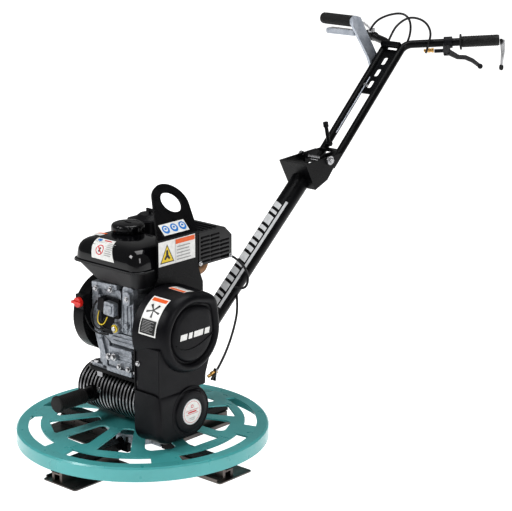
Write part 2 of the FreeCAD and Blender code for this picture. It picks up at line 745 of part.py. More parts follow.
def lift_bracket():
    x, bend = dim("bracket_x"), dim("bracket_bend_z")
    deck_top = dim("deck_low") + dim("deck_thickness")
    crank = (dim("crank_y"), dim("crank_z"))
    side = polygon([(-75, deck_top), (91, deck_top), (91, 430), (75, 470), (75, bend), (-57, bend),
                    (-57, 470), (-75, 440)])
    upright = padded([side, circle(crank, 26)], "bracket_sheet", yz_plane(x))
    eye = Vector(dim("eye_y"), dim("eye_rise"), 0)
    rim = dim("eye_rim")
    right, left = Vector(75, 0, 0), Vector(-57, 0, 0)
    touch_right = tangent_point(right, eye, rim, -1)
    touch_left = tangent_point(left, eye, rim, 1)
    outline = [
        Part.LineSegment(left, right),
        Part.LineSegment(right, touch_right),
        Part.Arc(touch_right, eye + Vector(0, rim, 0), touch_left),
        Part.LineSegment(touch_left, left),
    ]
    lean = math.radians(dim("bracket_lean"))
    up = Vector(-math.sin(lean), 0, math.cos(lean))
    normal = Y.cross(up)
    place = Placement(Vector(x, 0, bend), Rotation(Y, up, normal, "XYZ"))
    leaning = padded([outline, circle((eye.x, eye.y), dim("eye_radius"))], "bracket_sheet", place)
    seam = cylinder("bracket_sheet", "132", (x, -57, bend), Y)
    slab = block((x - 2, -57, bend - 8), (x + dim("bracket_sheet"), 75, bend + 8))
    corner = doc.addObject("Part::Common", "BendCorner")
    corner.Base = seam
    corner.Tool = slab
    keep("lift_bracket", fused([upright, leaning, corner]))


def tangent_point(outside, centre, radius, side):
    """Where a line from a point touches a circle, on the chosen side."""
    toward = outside - centre
    spread = math.acos(radius / toward.Length)
    angle = math.atan2(toward.y, toward.x) - side * spread
    return centre + Vector(math.cos(angle), math.sin(angle), 0) * radius


# ---------------------------------------------------------------- belt drive


def guard_outline(inset=0):
    """Tall cover outline in Y and Z: a big upper lobe, a straight front side and a waist behind."""
    upper = (dim("crank_y") - 7, dim("crank_z") + 1)
    lower = (dim("worm_y") - 1, dim("worm_z"))
    big, small = dim("upper_lobe") - inset, dim("lower_lobe") - inset
    front, back = upper[0] - big, upper[0] + big
    foot, side = lower[1] - small, lower[0] + small
    top = Vector(upper[0], upper[1] + big, 0)
    slope = math.sqrt(0.5)
    corner = 18
    points = {
        "front_top": Vector(front, upper[1], 0),
        "front_low": Vector(front, foot + 26 + corner, 0),
        "foot_front": Vector(front + corner + 8, foot + 8, 0),
        "foot": Vector(lower[0] - 30, foot, 0),
        "foot_back": Vector(lower[0], foot, 0),
        "side": Vector(side, lower[1], 0),
        "waist": Vector(side - 11, lower[1] + 70, 0),
        "shoulder": Vector(back - 12, upper[1] - 42, 0),
        "back_low": Vector(back, upper[1] + 6, 0),
        "back_top": Vector(back, upper[1] + 44, 0),
    }
    crown = Vector(upper[0] + big * slope + 9, upper[1] + big * slope + 4, 0)
    return [
        Part.LineSegment(points["front_top"], points["front_low"]),
        Part.LineSegment(points["front_low"], points["foot_front"]),
        Part.LineSegment(points["foot_front"], points["foot"]),
        Part.LineSegment(points["foot"], points["foot_back"]),
        Part.Arc(points["foot_back"], Vector(lower[0] + small * slope, lower[1] - small * slope, 0),
                 points["side"]),
        Part.LineSegment(points["side"], points["waist"]),
        Part.LineSegment(points["waist"], points["shoulder"]),
        Part.LineSegment(points["shoulder"], points["back_low"]),
        Part.LineSegment(points["back_low"], points["back_top"]),
        Part.Arc(points["back_top"], crown, top),
        Part.Arc(top, Vector(upper[0] - big * slope, upper[1] + big * slope, 0), points["front_top"]),
    ]


def belt_guard():
    back, thick = dim("guard_back"), dim("guard_sheet")
    front, dome = dim("guard_front"), dim("guard_dome")
    lower, upper = (dim("worm_y"), dim("worm_z")), (dim("crank_y"), dim("crank_z"))
    holes = [circle(upper, 24), circle(lower, 14)]
    plate = padded([guard_outline(4)] + holes, "guard_sheet", yz_plane(back))
    keep("guard_back_plate", fused([plate, idler()]))
    start = yz_plane(back + thick)
    outer = softened(padded([guard_outline()], "guard_front - guard_back - guard_sheet", start),
                     8, lambda edge: edge.CenterOfMass.x > front - 0.01)
    inner = padded([guard_outline(4)], "guard_front - guard_back - guard_sheet * 2", start)
    shell = carved(outer, [inner])
    raised = softened(cylinder("upper_lobe - 6", f"{dome - front + 6}", (front - 6, *upper), X), 6,
                      lambda edge: edge.CenterOfMass.x > dome - 0.01)
    boss = cylinder("44", "guard_relief", (front - 1, *lower), X)
    keep("belt_guard", fused([shell, raised, boss]))


def grooved(outer, groove, bore, left, right, placement):
    half = dim("belt_width") / 2 + 0.8
    plane = dim("belt_plane")
    return turned([(bore, left), (outer, left), (outer, plane - half), (groove, plane - half),
                   (groove, plane + half), (outer, plane + half), (outer, right), (bore, right)], placement)


def belt_drive():
    worm_axis = facing((0, dim("worm_y"), dim("worm_z")), X)
    crank_axis = facing(crank_point(0), X)
    bore = dim("input_end_radius")
    driven, drive = dim("driven_radius"), dim("drive_radius")
    keep("driven_pulley", grooved(driven, driven - 12, bore, 154, 178, worm_axis))
    keep("clutch_pulley", grooved(drive, drive - 12, bore, 146, 182, crank_axis))
    low, high = (dim("worm_y"), dim("worm_z")), (dim("crank_y"), dim("crank_z"))
    outer = belt_outline(low, driven - 1, high, drive - 1)
    inner = belt_outline(low, driven - 10, high, drive - 10)
    start = dim("belt_plane") - dim("belt_width") / 2
    keep("v_belt", padded([outer, inner], "belt_width", yz_plane(start)))


def idler():
    pivot = (dim("crank_y") - 86, dim("crank_z") - 40)
    roller = (dim("worm_y") - 68, dim("worm_z") + 82)
    x = 138
    eye = circle(pivot, dim("pin_radius") + dim("running_gap"))
    arm = padded([belt_outline_between(roller, 9, pivot, 11), eye], "6", yz_plane(x))
    hub = cylinder("7", "34", (x, *roller), X)
    wheel = cylinder("14", "16", (dim("belt_plane") - 8, *roller), X)
    keep("idler_arm", fused([arm, hub, wheel]))
    return cylinder("pin_radius", "16", (dim("guard_back") + 1, *pivot), X)


def belt_outline_between(first, first_radius, second, second_radius):
    """Rounded link between two centres."""
    start, end = Vector(*first, 0), Vector(*second, 0)
    across = (end - start).cross(Z).normalize()
    along = (end - start).normalize()
    return [
        Part.LineSegment(start + across * first_radius, end + across * second_radius),
        Part.Arc(end + across * second_radius, end + along * second_radius, end - across * second_radius),
        Part.LineSegment(end - across * second_radius, start - across * first_radius),
        Part.Arc(start - across * first_radius, start - along * first_radius, start + across * first_radius),
    ]


# ---------------------------------------------------------------- handle


TUBE_LOW = (0, 96, 151.5)
TUBE_HIGH = (0, 584, 575.5)


def lower_handle():
    tube = straight_tube(TUBE_LOW, TUBE_HIGH, dim("tube_radius"), dim("tube_wall"))
    foot = block((-42, 44, 108), (42, 58, 200))
    cheeks = [padded([polygon([(50, 112), (96, 118), (150, 176), (140, 214), (50, 196)])], "6", yz_plane(x))
              for x in (-30, 24)]
    bowl = cylinder("bowl_radius", "200", (0, 0, 60))
    foot_cut = carved(fused([foot] + cheeks), [bowl])
    entries = [cable_entry("throttle_cable", -1, -2), cable_entry("clutch_cable", 0, 1)]
    keep("handle_tube", carved(fused([tube, foot_cut]), entries))
    hinge_box()
    keep("pivot_pins", grouped([hinge_pin(), pitch_pivot()]))
    carry_tube()


def cable_entry(name, end, before):
    """Hole in the tube's wall for the first stretch of a cable."""
    start, ahead = Vector(*CABLE_ROUTES[name][end]), Vector(*CABLE_ROUTES[name][before])
    return cylinder("cable_radius + free_gap", "40", start - (ahead - start).normalize() * 8, ahead - start)


def straight_tube(start, end, radius, wall):
    direction = Vector(*end) - Vector(*start)
    outer = cylinder(str(radius), str(direction.Length), start, direction)
    return carved(outer, [cylinder(str(radius - wall), str(direction.Length), start, direction)])


def hinge_box():
    half, sheet_t = dim("box_half_width"), dim("box_sheet")
    profile = [(548, 626), (692, 634), (636, 572), (588, 553)]
    inner = [(555, 640), (720, 650), (720, 620), (650, 555), (634, 577), (591, 559)]
    outer = padded([polygon(profile)], "box_half_width * 2", yz_plane(-half))
    room = padded([polygon(inner)], "box_half_width * 2 - box_sheet * 2", yz_plane(-half + sheet_t))
    direction = Vector(*TUBE_HIGH) - Vector(*TUBE_LOW)
    entry = cylinder("tube_radius", str(direction.Length + 60), TUBE_LOW, direction)
    pin_holes = cylinder("pin_radius", "200", (-100, dim("hinge_y"), dim("hinge_z")), X)
    keep("hinge_box", carved(outer, [room, entry, pin_holes]))


def hinge_pin():
    """Shank and two heads of the pin the upper handle folds on."""
    half = dim("box_half_width")
    shank = cylinder("pin_radius", "box_half_width * 2 + 16", (-half - 8, dim("hinge_y"), dim("hinge_z")), X)
    heads = [cylinder("11", "5", (x, dim("hinge_y"), dim("hinge_z")), X) for x in (-half - 5, half)]
    return fused([shank] + heads)


def carry_tube():
    start = (dim("carry_x"), dim("worm_y") - dim("fin_radius") + 12, dim("carry_z"))
    bar = cylinder("carry_radius", "116", (start[0], start[1] - 10, start[2]), -Y)
    collar = cylinder("carry_radius + 6", "24", (start[0], start[1] + 2, start[2]), -Y)
    case = cylinder("fin_radius", "400", (-200, dim("worm_y"), dim("worm_z")), X)
    keep("carry_tube", carved(fused([bar, collar]), [case]))
    grip_start = (start[0], start[1] - 44, start[2])
    sleeve = carved(cylinder("carry_radius + 4", "86", grip_start, -Y),
                    [cylinder("carry_radius", "82", grip_start, -Y)])
    keep("carry_grip", softened(sleeve, 3, lambda edge: edge.CenterOfMass.y < grip_start[1] - 85))


RAIL_LOW = (672, 600)
RAIL_HIGH = (972, 884)
RIGHT_BAR_END = (240, 1102, 903)
LEFT_BAR_END = (-136, 1030, 888)


def bar_frame():
    """Placement on the right bar: X along it, Y forward and down to the lever, Z across."""
    corner = Vector(dim("rail_x"), *RAIL_HIGH)
    along = (Vector(*RIGHT_BAR_END) - corner).normalize()
    reach = Vector(0.396, -0.572, -0.716)
    reach = (reach - along * reach.dot(along)).normalize()
    return corner, along, reach, along.cross(reach)


def on_bar(distance, out=0, across=0):
    corner, along, reach, side = bar_frame()
    return corner + along * distance + reach * out + side * across


def bar_placement(distance, across=0):
    corner, along, reach, side = bar_frame()
    return Placement(on_bar(distance, 0, across), Rotation(along, reach, side, "XYZ"))


def handle_frame():
    rail = dim("rail_x")
    bore = dim("rail_radius") - dim("rail_wall")
    rails = [
        swept(dim("rail_radius"), [(rail, *RAIL_LOW), (rail, *RAIL_HIGH), RIGHT_BAR_END], 34, bore),
        swept(dim("rail_radius"), [(-rail, *RAIL_LOW), (-rail, *RAIL_HIGH), LEFT_BAR_END], 34, bore),
    ]
    brace = cylinder("9", "rail_x * 2", (-rail, 950, 884), X)
    lug = [(dim("hinge_y") - 13, dim("hinge_z") - 12), (686, 598), (712, 638), (dim("hinge_y") + 2,
           dim("hinge_z") + 14), (dim("hinge_y") - 13, dim("hinge_z") + 10)]
    hole = circle((dim("hinge_y"), dim("hinge_z")), dim("pin_radius") + dim("running_gap"))
    lugs = [padded([polygon(lug, 4), hole], "6", yz_plane(x - 3)) for x in (-rail, rail)]
    web = block((-rail, 690, 632), (rail, 712, 637))
    keep("handle_frame", fused(rails + [brace, web] + lugs))
    console_plate()


def console_plate():
    rail = dim("rail_x")
    along = (Vector(0, *RAIL_HIGH) - Vector(0, *RAIL_LOW)).normalize()
    low = Vector(0, *RAIL_LOW) + along * 238
    half = rail - dim("rail_radius")
    outline = polygon([(-half, 0), (half, 0), (half, 150), (-half, 150)])
    slots = [polygon([(-7, start), (7, start), (7, start + 26), (-7, start + 26)], 5)
             for start in (18, 58, 98)]
    place = Placement(low, Rotation(X, along, X.cross(along), "XYZ"))
    keep("console_plate", padded([outline] + slots, "4", place))


def right_grip():
    length = 100
    end = (Vector(*RIGHT_BAR_END) - bar_frame()[0]).Length
    start = on_bar(end - length)
    direction = bar_frame()[1]
    sleeve = carved(cylinder("grip_radius", str(length + 4), start, direction),
                    [cylinder("rail_radius", str(length), start, direction)])
    flange = carved(cylinder("grip_radius + 7", "4", start, direction),
                    [cylinder("rail_radius", "4", start, direction)])
    keep("right_grip", fused([sleeve, flange]))


def clutch_lever():
    clamp_at = 118
    ring = cylinder("rail_radius + 5", "22", on_bar(clamp_at - 11), bar_frame()[1])
    arm = padded([polygon([(-10, 8), (10, 8), (8, 38), (-8, 38)], 3)], "14", bar_placement(clamp_at - 4, -7))
    bar_space = cylinder("rail_radius", "60", on_bar(clamp_at - 30), bar_frame()[1])
    slot = padded([polygon([(-5.5, 19), (30, 19), (30, 60), (-5.5, 60)])], "6.8",
                  bar_placement(clamp_at - 4, -3.4))
    stub = cylinder("5", "24", on_bar(clamp_at - 12, 26), -bar_frame()[1])
    pivot = cylinder("3", "14", on_bar(clamp_at - 4, 30, -7), bar_frame()[3])
    keep("lever_clamp", fused([carved(fused([ring, arm]), [bar_space, slot]), stub, pivot]))
    blade_outline = [(-4, 25), (6, 22), (34, 44), (52, 46), (72, 58), (92, 78), (86, 84), (66, 66),
                     (48, 56), (28, 54), (2, 38), (-4, 36)]
    eye = circle((0, 30), 3.05)
    flat = padded([polygon(blade_outline), eye], "6", bar_placement(clamp_at - 4, -3))
    knob_centre = on_bar(clamp_at - 4 + 90, 82)
    knob = doc.addObject("Part::Sphere", "LeverKnob")
    knob.Radius = 7
    knob.Placement = Placement(knob_centre, Rotation())
    keep("clutch_lever", fused([flat, knob]))


PITCH_PIVOT = (930, 838)


def pitch_lever_x():
    return -dim("rail_x") - dim("rail_radius") - 1


def pitch_pivot():
    x = pitch_lever_x()
    pivot = cylinder("pin_radius", "14", (x + 1, *PITCH_PIVOT), -X)
    head = cylinder("9", "4", (x - 9, *PITCH_PIVOT), -X)
    return fused([pivot, head])


def pitch_control():
    x = pitch_lever_x()
    lever = [(918, 822), (944, 830), (940, 856), (868, 962), (848, 968), (836, 960), (838, 940), (905, 850)]
    plate = padded([polygon(lever, 4), circle(PITCH_PIVOT, 6.05)], "8", yz_plane(x - 8))
    grip = softened(cylinder("grip_radius", "108", (x - 8, 850, 952), -X), 5,
                    lambda edge: edge.CenterOfMass.x < x - 110)
    keep("pitch_lever", fused([plate, grip]))
    trigger = block((x - 96, 856, 922), (x - 10, 868, 928))
    heel = block((x - 20, 866, 922), (x - 10, 884, 936))
    keep("pitch_trigger", fused([trigger, heel]))


def throttle_and_latch():
    mount = Vector(*LEFT_BAR_END) + Vector(30, -24, 0) * 0.6
    base = mount + Vector(0, 0, dim("rail_radius") + 0.5)
    hub = cylinder("9", "10", base)
    arm = cylinder("3.5", "34", base + Vector(0, 0, 7), Vector(-0.7, -0.2, 0.5))
    keep("throttle_lever", fused([hub, arm]))
    foot = (-10, 706, 641)
    post = cylinder("6", "16", (-18, foot[1], foot[2] + 8), X)
    stem = cylinder("5", "52", (-10, foot[1], foot[2] + 8), Vector(0, -0.25, 1))
    knob = cylinder("7", "12", (-10, foot[1] - 12, foot[2] + 55), Vector(0, -0.25, 1))
    keep("fold_latch", fused([post, stem, knob]))


def pitch_rod():
    start = (0, 724, 676.9)
    end = (0, 852, 797)
    keep("pitch_rod", cylinder("3", str((Vector(*end) - Vector(*start)).Length), start,
                               Vector(*end) - Vector(*start)))


# ---------------------------------------------------------------- cables


CABLE_ROUTES = {
    "throttle_cable": [(26, 262, 446), (40, 282, 436), (46, 312, 410), (46, 330, 380), (42, 330, 352),
                       (34, 318, 344), (22, 306, 350)],
    "clutch_cable": [(22, 312, 332), (38, 300, 300), (60, 262, 262), (84, 212, 226), (104, 160, 196),
                     (116, 120, 176)],
    "upper_throttle_cable": [(-112, 1000, 905), (-100, 1003, 930), (-60, 1010, 952), (-10, 1014, 962),
                             (16, 1014, 944), (20, 1010, 906), (14, 992, 870), (4, 952, 857)],
    "upper_clutch_cable": [(-10, 960, 900), (0, 974, 934), (30, 990, 958), (70, 1004, 950), (94, 1004, 922),
                           (100, 984, 890), (104, 968, 870)],
}


def cables():
    for name in ("throttle_cable", "clutch_cable"):
        keep(name, swept(dim("cable_radius"), CABLE_ROUTES[name]))
    upper = ("upper_throttle_cable", "upper_clutch_cable")
    keep("upper_cables", grouped([swept(dim("cable_radius"), CABLE_ROUTES[name]) for name in upper]))


# ---------------------------------------------------------------- checks and export


def check_document():
    doc.recompute()
    for feature in doc.Objects:
        if {"Invalid", "Error"} & set(feature.State):
            raise RuntimeError(f"{feature.Label} did not build: {feature.State}")
    for label, feature in SUBPARTS.items():
        shape = feature.Shape
        if shape.isNull() or not shape.isValid() or not shape.Solids:
            raise RuntimeError(f"{label} has no valid solid")
        box = shape.BoundBox
        print(f"{label:22s} solids {len(shape.Solids):2d}  volume {shape.Volume / 1000:9.1f} cm3 ",
              f"x {box.XMin:.0f}..{box.XMax:.0f} y {box.YMin:.0f}..{box.YMax:.0f} "
              f"z {box.ZMin:.0f}..{box.ZMax:.0f}")


def export_subparts():
    os.makedirs("parts", exist_ok=True)
    for label, feature in SUBPARTS.items():
        feature.Shape.exportStep(f"parts/{label}.step")


def main():
    fill_sheet()
    guard_ring()
    gearbox_housing()
    worm_shaft()
    worm_wheel()
    output_shaft()
    rotor()
    engine_crankcase()
    crankshaft()
    engine_cylinder()
    blower_and_starter()
    fuel_tank_upper()
    fuel_tank_lower()
    fuel_cap()
    intake_and_exhaust()
    engine_switch()
    engine_deck()
    lift_bracket()
    belt_guard()
    belt_drive()
    lower_handle()
    handle_frame()
    right_grip()
    clutch_lever()
    pitch_control()
    throttle_and_latch()
    pitch_rod()
    cables()
    check_document()
    export_subparts()


main()
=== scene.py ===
"""Looks of the walk-behind power trowel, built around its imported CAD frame."""
import json
import math
import random

import bmesh
import bpy
from mathutils import Matrix, Vector


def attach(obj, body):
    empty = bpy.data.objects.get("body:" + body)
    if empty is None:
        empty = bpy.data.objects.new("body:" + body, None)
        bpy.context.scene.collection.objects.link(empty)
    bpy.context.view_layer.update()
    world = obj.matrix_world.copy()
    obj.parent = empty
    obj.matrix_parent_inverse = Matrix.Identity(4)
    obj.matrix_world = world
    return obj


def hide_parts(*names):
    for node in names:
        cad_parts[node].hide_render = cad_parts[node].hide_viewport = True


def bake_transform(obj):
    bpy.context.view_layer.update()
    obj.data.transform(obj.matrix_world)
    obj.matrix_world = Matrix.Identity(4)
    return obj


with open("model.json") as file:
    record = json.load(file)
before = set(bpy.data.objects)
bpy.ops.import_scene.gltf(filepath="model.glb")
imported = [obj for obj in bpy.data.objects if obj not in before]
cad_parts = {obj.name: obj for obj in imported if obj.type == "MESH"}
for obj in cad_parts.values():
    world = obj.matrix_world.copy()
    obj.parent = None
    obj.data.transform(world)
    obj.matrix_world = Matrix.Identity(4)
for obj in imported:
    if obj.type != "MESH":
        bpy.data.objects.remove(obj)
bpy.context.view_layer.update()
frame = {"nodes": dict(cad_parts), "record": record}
NODES = frame["nodes"]
X, Y, Z = Vector((1, 0, 0)), Vector((0, 1, 0)), Vector((0, 0, 1))


def mm(*point):
    """Point given in millimetres, in metres."""
    return Vector(point) / 1000


def angles(count):
    """A full turn in equal steps, in radians."""
    return [2 * math.pi * n / count for n in range(count)]


# ------------ camera, floor and light

FLOOR_LEVEL = -0.0006


def camera():
    """Long lens from the front right and a little above."""
    data = bpy.data.cameras.new("Camera")
    data.sensor_width = 36
    data.lens = 126.56
    obj = bpy.data.objects.new("Camera", data)
    bpy.context.scene.collection.objects.link(obj)
    obj.location = (2.9526, -2.8652, 1.6158)
    looking = Vector((-0.6458, 0.7162, -0.2645))
    obj.rotation_euler = looking.to_track_quat("-Z", "Y").to_euler()
    bpy.context.scene.camera = obj


def area_light(name, place, target, size, power):
    data = bpy.data.lights.new(name, "AREA")
    data.shape = "RECTANGLE"
    data.size, data.size_y = size
    data.energy = power
    obj = bpy.data.objects.new(name, data)
    bpy.context.scene.collection.objects.link(obj)
    obj.location = place
    obj.rotation_euler = (Vector(target) - Vector(place)).to_track_quat("-Z", "Y").to_euler()


def studio():
    """Soft light from three large lamps over a pale floor."""
    world = bpy.data.worlds.new("Studio")
    world.use_nodes = True
    background = world.node_tree.nodes["Background"]
    background.inputs["Color"].default_value = (1, 1, 1, 1)
    background.inputs["Strength"].default_value = 0.2
    bpy.context.scene.world = world
    bpy.context.scene.view_settings.view_transform = "Standard"
    bpy.context.scene.view_settings.look = "Medium High Contrast"
    area_light("KeyLight", (-1.4, -3.2, 3.4), (0, 0.2, 0.4), (1.6, 1.6), 90)
    area_light("FillLight", (3.6, -0.6, 2.2), (0, 0.2, 0.4), (1.0, 2.0), 34)
    area_light("TopLight", (0.2, 0.8, 3.8), (0, 0.3, 0.4), (2.2, 2.2), 60)
    floor_and_wall(14, 9)


def floor_and_wall(radius, height):
    """Round pale floor, and round it a wall that only the camera sees, so that low views have no horizon."""
    pale = floor_material()
    bm = bmesh.new()
    bmesh.ops.create_circle(bm, cap_ends=True, radius=radius, segments=96)
    floor = object_from(bm, "studio_floor")
    floor.location.z = FLOOR_LEVEL
    bm = bmesh.new()
    add_loops(bm, [[Vector((radius * math.cos(turn), radius * math.sin(turn), level)) for turn in angles(96)]
                   for level in (FLOOR_LEVEL, height)], closed=False)
    wall = object_from(bm, "studio_wall")
    wall.visible_diffuse = wall.visible_glossy = wall.visible_transmission = wall.visible_shadow = False
    for piece in (floor, wall):
        piece.data.materials.append(pale)


# ------------ node helpers


class Shader:
    """A Principled material whose socket names can be set or fed from small node chains."""

    def __init__(self, name, color, roughness, metallic=0.0, **extra):
        self.material = bpy.data.materials.new(name)
        self.material.use_nodes = True
        self.nodes = self.material.node_tree.nodes
        self.links = self.material.node_tree.links
        self.bsdf = self.nodes["Principled BSDF"]
        self.bsdf.inputs["Base Color"].default_value = (*color, 1)
        self.bsdf.inputs["Roughness"].default_value = roughness
        self.bsdf.inputs["Metallic"].default_value = metallic
        for socket, value in extra.items():
            self.bsdf.inputs[socket.replace("_", " ")].default_value = value
        self.place = self.nodes.new("ShaderNodeTexCoord").outputs["Object"]
        self.normal = None

    def stretched(self, scale):
        mapping = self.nodes.new("ShaderNodeMapping")
        mapping.inputs["Scale"].default_value = scale
        self.links.new(self.place, mapping.inputs["Vector"])
        return mapping.outputs["Vector"]

    def noise(self, scale, detail, stretch=None):
        node = self.nodes.new("ShaderNodeTexNoise")
        node.inputs["Scale"].default_value = scale
        node.inputs["Detail"].default_value = detail
        self.links.new(self.stretched(stretch) if stretch else self.place, node.inputs["Vector"])
        return node.outputs["Fac"]

    def voronoi(self, scale):
        node = self.nodes.new("ShaderNodeTexVoronoi")
        node.inputs["Scale"].default_value = scale
        self.links.new(self.place, node.inputs["Vector"])
        return node.outputs["Distance"]

    def ramp(self, factor, stops):
        """Colours at positions from 0 to 1, with a smooth change between them."""
        node = self.nodes.new("ShaderNodeValToRGB")
        ramp = node.color_ramp
        while len(ramp.elements) < len(stops):
            ramp.elements.new(0.5)
        for element, (position, color) in zip(ramp.elements, stops):
            element.position = position
            element.color = (*color, 1)
        self.links.new(factor, node.inputs["Fac"])
        return node.outputs["Color"]

    def values(self, factor, low, high, start=0.3, end=0.7):
        """Low to high as the factor goes from start to end."""
        node = self.nodes.new("ShaderNodeMapRange")
        node.inputs["From Min"].default_value = start
        node.inputs["From Max"].default_value = end
        node.inputs["To Min"].default_value = low
        node.inputs["To Max"].default_value = high
        self.links.new(factor, node.inputs["Value"])
        return node.outputs["Result"]

    def computed(self, kind, operation, first, second=None):
        """Math node that works on an output, and on a fixed second value where there is one."""
        node = self.nodes.new(kind)
        node.operation = operation
        self.links.new(first, node.inputs[0])
        if second:
            node.inputs[1].default_value = second
        return node

    def feed(self, socket, output):
        self.links.new(output, self.bsdf.inputs[socket])

    def mottle(self, scale, detail, *colors):
        """The base colour wanders between two or three tones."""
        stops = (0.3, 0.7) if len(colors) == 2 else (0.3, 0.5, 0.7)
        self.feed("Base Color", self.ramp(self.noise(scale, detail), list(zip(stops, colors))))

    def rough(self, low, high, scale, detail, stretch=None):
        """The roughness wanders between two values."""
        self.feed("Roughness", self.values(self.noise(scale, detail, stretch), low, high))

    def bump(self, height, distance):
        node = self.nodes.new("ShaderNodeBump")
        node.inputs["Distance"].default_value = distance
        self.links.new(height, node.inputs["Height"])
        if self.normal:
            self.links.new(self.normal, node.inputs["Normal"])
        self.normal = node.outputs["Normal"]
        self.links.new(self.normal, self.bsdf.inputs["Normal"])
        return self

    def soft_edges(self, radius):
        """Light catches the small radius that every pressed or cast edge has."""
        node = self.nodes.new("ShaderNodeBevel")
        node.samples = 4
        node.inputs["Radius"].default_value = radius
        self.normal = node.outputs["Normal"]
        self.links.new(self.normal, self.bsdf.inputs["Normal"])


# ------------ materials


def floor_material():
    s = Shader("PaleFloor", (0.5, 0.5, 0.5), 0.8, Emission_Color=(1, 1, 1, 1), Emission_Strength=0.86)
    s.mottle(1.2, 3, (0.48, 0.48, 0.48), (0.52, 0.52, 0.52))
    return s.material


def ring_paint():
    s = Shader("RingPaint", (0.068, 0.335, 0.333), 0.33, Coat_Weight=0.45, Coat_Roughness=0.1)
    s.soft_edges(0.0015)
    s.mottle(9, 4, (0.062, 0.325, 0.325), (0.086, 0.4, 0.4))
    s.rough(0.26, 0.42, 35, 5)
    s.bump(s.noise(420, 2), 0.00012)
    return s.material


def black_paint():
    s = Shader("BlackPaint", (0.003, 0.003, 0.004), 0.3, Specular_IOR_Level=0.16)
    s.soft_edges(0.0012)
    s.mottle(14, 5, (0.002, 0.002, 0.0025), (0.005, 0.005, 0.006))
    s.rough(0.22, 0.38, 50, 5)
    s.bump(s.noise(500, 2), 0.00016)
    return s.material


def tank_paint():
    s = Shader("TankPaint", (0.003, 0.003, 0.004), 0.09, Specular_IOR_Level=0.4, Coat_Weight=0.1,
               Coat_Roughness=0.03)
    s.mottle(20, 3, (0.002, 0.002, 0.003), (0.005, 0.005, 0.006))
    s.rough(0.06, 0.12, 60, 4)
    s.bump(s.noise(90, 1), 0.00004)
    return s.material


def satin_tank():
    s = Shader("SatinTank", (0.009, 0.009, 0.011), 0.36, Specular_IOR_Level=0.35)
    s.soft_edges(0.001)
    s.mottle(30, 4, (0.006, 0.006, 0.007), (0.012, 0.012, 0.014))
    s.bump(s.noise(600, 2), 0.00012)
    return s.material


def moulded_black():
    s = Shader("MouldedBlack", (0.005, 0.005, 0.007), 0.33, Specular_IOR_Level=0.17)
    s.soft_edges(0.0008)
    s.mottle(18, 4, (0.004, 0.004, 0.0055), (0.008, 0.008, 0.010))
    s.rough(0.28, 0.42, 45, 4)
    s.bump(s.voronoi(900), 0.00018)
    return s.material


def cast_alloy():
    s = Shader("CastAlloy", (0.3, 0.32, 0.35), 0.42, 0.7)
    s.soft_edges(0.0014)
    s.mottle(150, 7, (0.2, 0.215, 0.24), (0.31, 0.33, 0.36), (0.42, 0.44, 0.47))
    s.rough(0.32, 0.58, 120, 4)
    s.bump(s.noise(260, 4), 0.0005)
    s.bump(s.voronoi(700), 0.0002)
    return s.material


def lever_alloy():
    s = Shader("LeverAlloy", (0.42, 0.45, 0.5), 0.4, 0.6)
    s.soft_edges(0.001)
    s.mottle(60, 5, (0.33, 0.36, 0.41), (0.5, 0.53, 0.58))
    s.bump(s.noise(400, 3), 0.0002)
    return s.material


def steel():
    s = Shader("PlatedSteel", (0.6, 0.6, 0.61), 0.26, 1.0)
    s.soft_edges(0.0005)
    s.mottle(60, 3, (0.4, 0.4, 0.41), (0.52, 0.52, 0.53))
    s.rough(0.24, 0.36, 120, 3, (1, 1, 0.2))
    s.bump(s.noise(400, 2), 0.00002)
    return s.material


def spring_steel():
    s = Shader("SpringSteel", (0.10, 0.095, 0.09), 0.36, 0.85)
    s.soft_edges(0.0006)
    s.feed("Base Color", s.ramp(s.noise(12, 6), [(0.3, (0.065, 0.06, 0.062)), (0.5, (0.13, 0.115, 0.11)),
                                                (0.72, (0.19, 0.16, 0.145))]))
    s.rough(0.25, 0.5, 120, 5, (1, 0.15, 1))
    s.bump(s.noise(300, 3, (1, 0.2, 1)), 0.0001)
    return s.material


def cast_iron():
    s = Shader("CastIron", (0.04, 0.04, 0.042), 0.5, 0.6)
    s.soft_edges(0.0012)
    s.mottle(60, 6, (0.022, 0.022, 0.024), (0.075, 0.073, 0.075))
    s.bump(s.noise(300, 5), 0.0005)
    return s.material


def bronze():
    s = Shader("Bronze", (0.5, 0.3, 0.1), 0.35, 1.0)
    s.mottle(80, 5, (0.42, 0.25, 0.08), (0.6, 0.38, 0.15))
    s.bump(s.noise(400, 3), 0.0001)
    return s.material


def rubber():
    s = Shader("Rubber", (0.006, 0.006, 0.006), 0.55, Specular_IOR_Level=0.35)
    s.soft_edges(0.0008)
    s.mottle(40, 4, (0.004, 0.004, 0.004), (0.010, 0.010, 0.010))
    s.bump(s.noise(700, 3), 0.00025)
    return s.material


def cable_jacket():
    s = Shader("CableJacket", (0.006, 0.006, 0.007), 0.36, Specular_IOR_Level=0.35)
    s.mottle(60, 3, (0.004, 0.004, 0.005), (0.009, 0.009, 0.010))
    s.bump(s.noise(900, 2), 0.0001)
    return s.material


def red_plastic():
    s = Shader("RedPlastic", (0.62, 0.02, 0.015), 0.34, Coat_Weight=0.2)
    s.soft_edges(0.0008)
    s.mottle(60, 3, (0.55, 0.015, 0.012), (0.72, 0.03, 0.02))
    s.bump(s.noise(600, 2), 0.0001)
    return s.material


def rusty_steel():
    s = Shader("HeatedSteel", (0.3, 0.17, 0.09), 0.6, 0.6)
    s.soft_edges(0.001)
    s.mottle(30, 7, (0.16, 0.085, 0.045), (0.36, 0.21, 0.12), (0.5, 0.36, 0.25))
    s.bump(s.noise(220, 6), 0.0004)
    return s.material


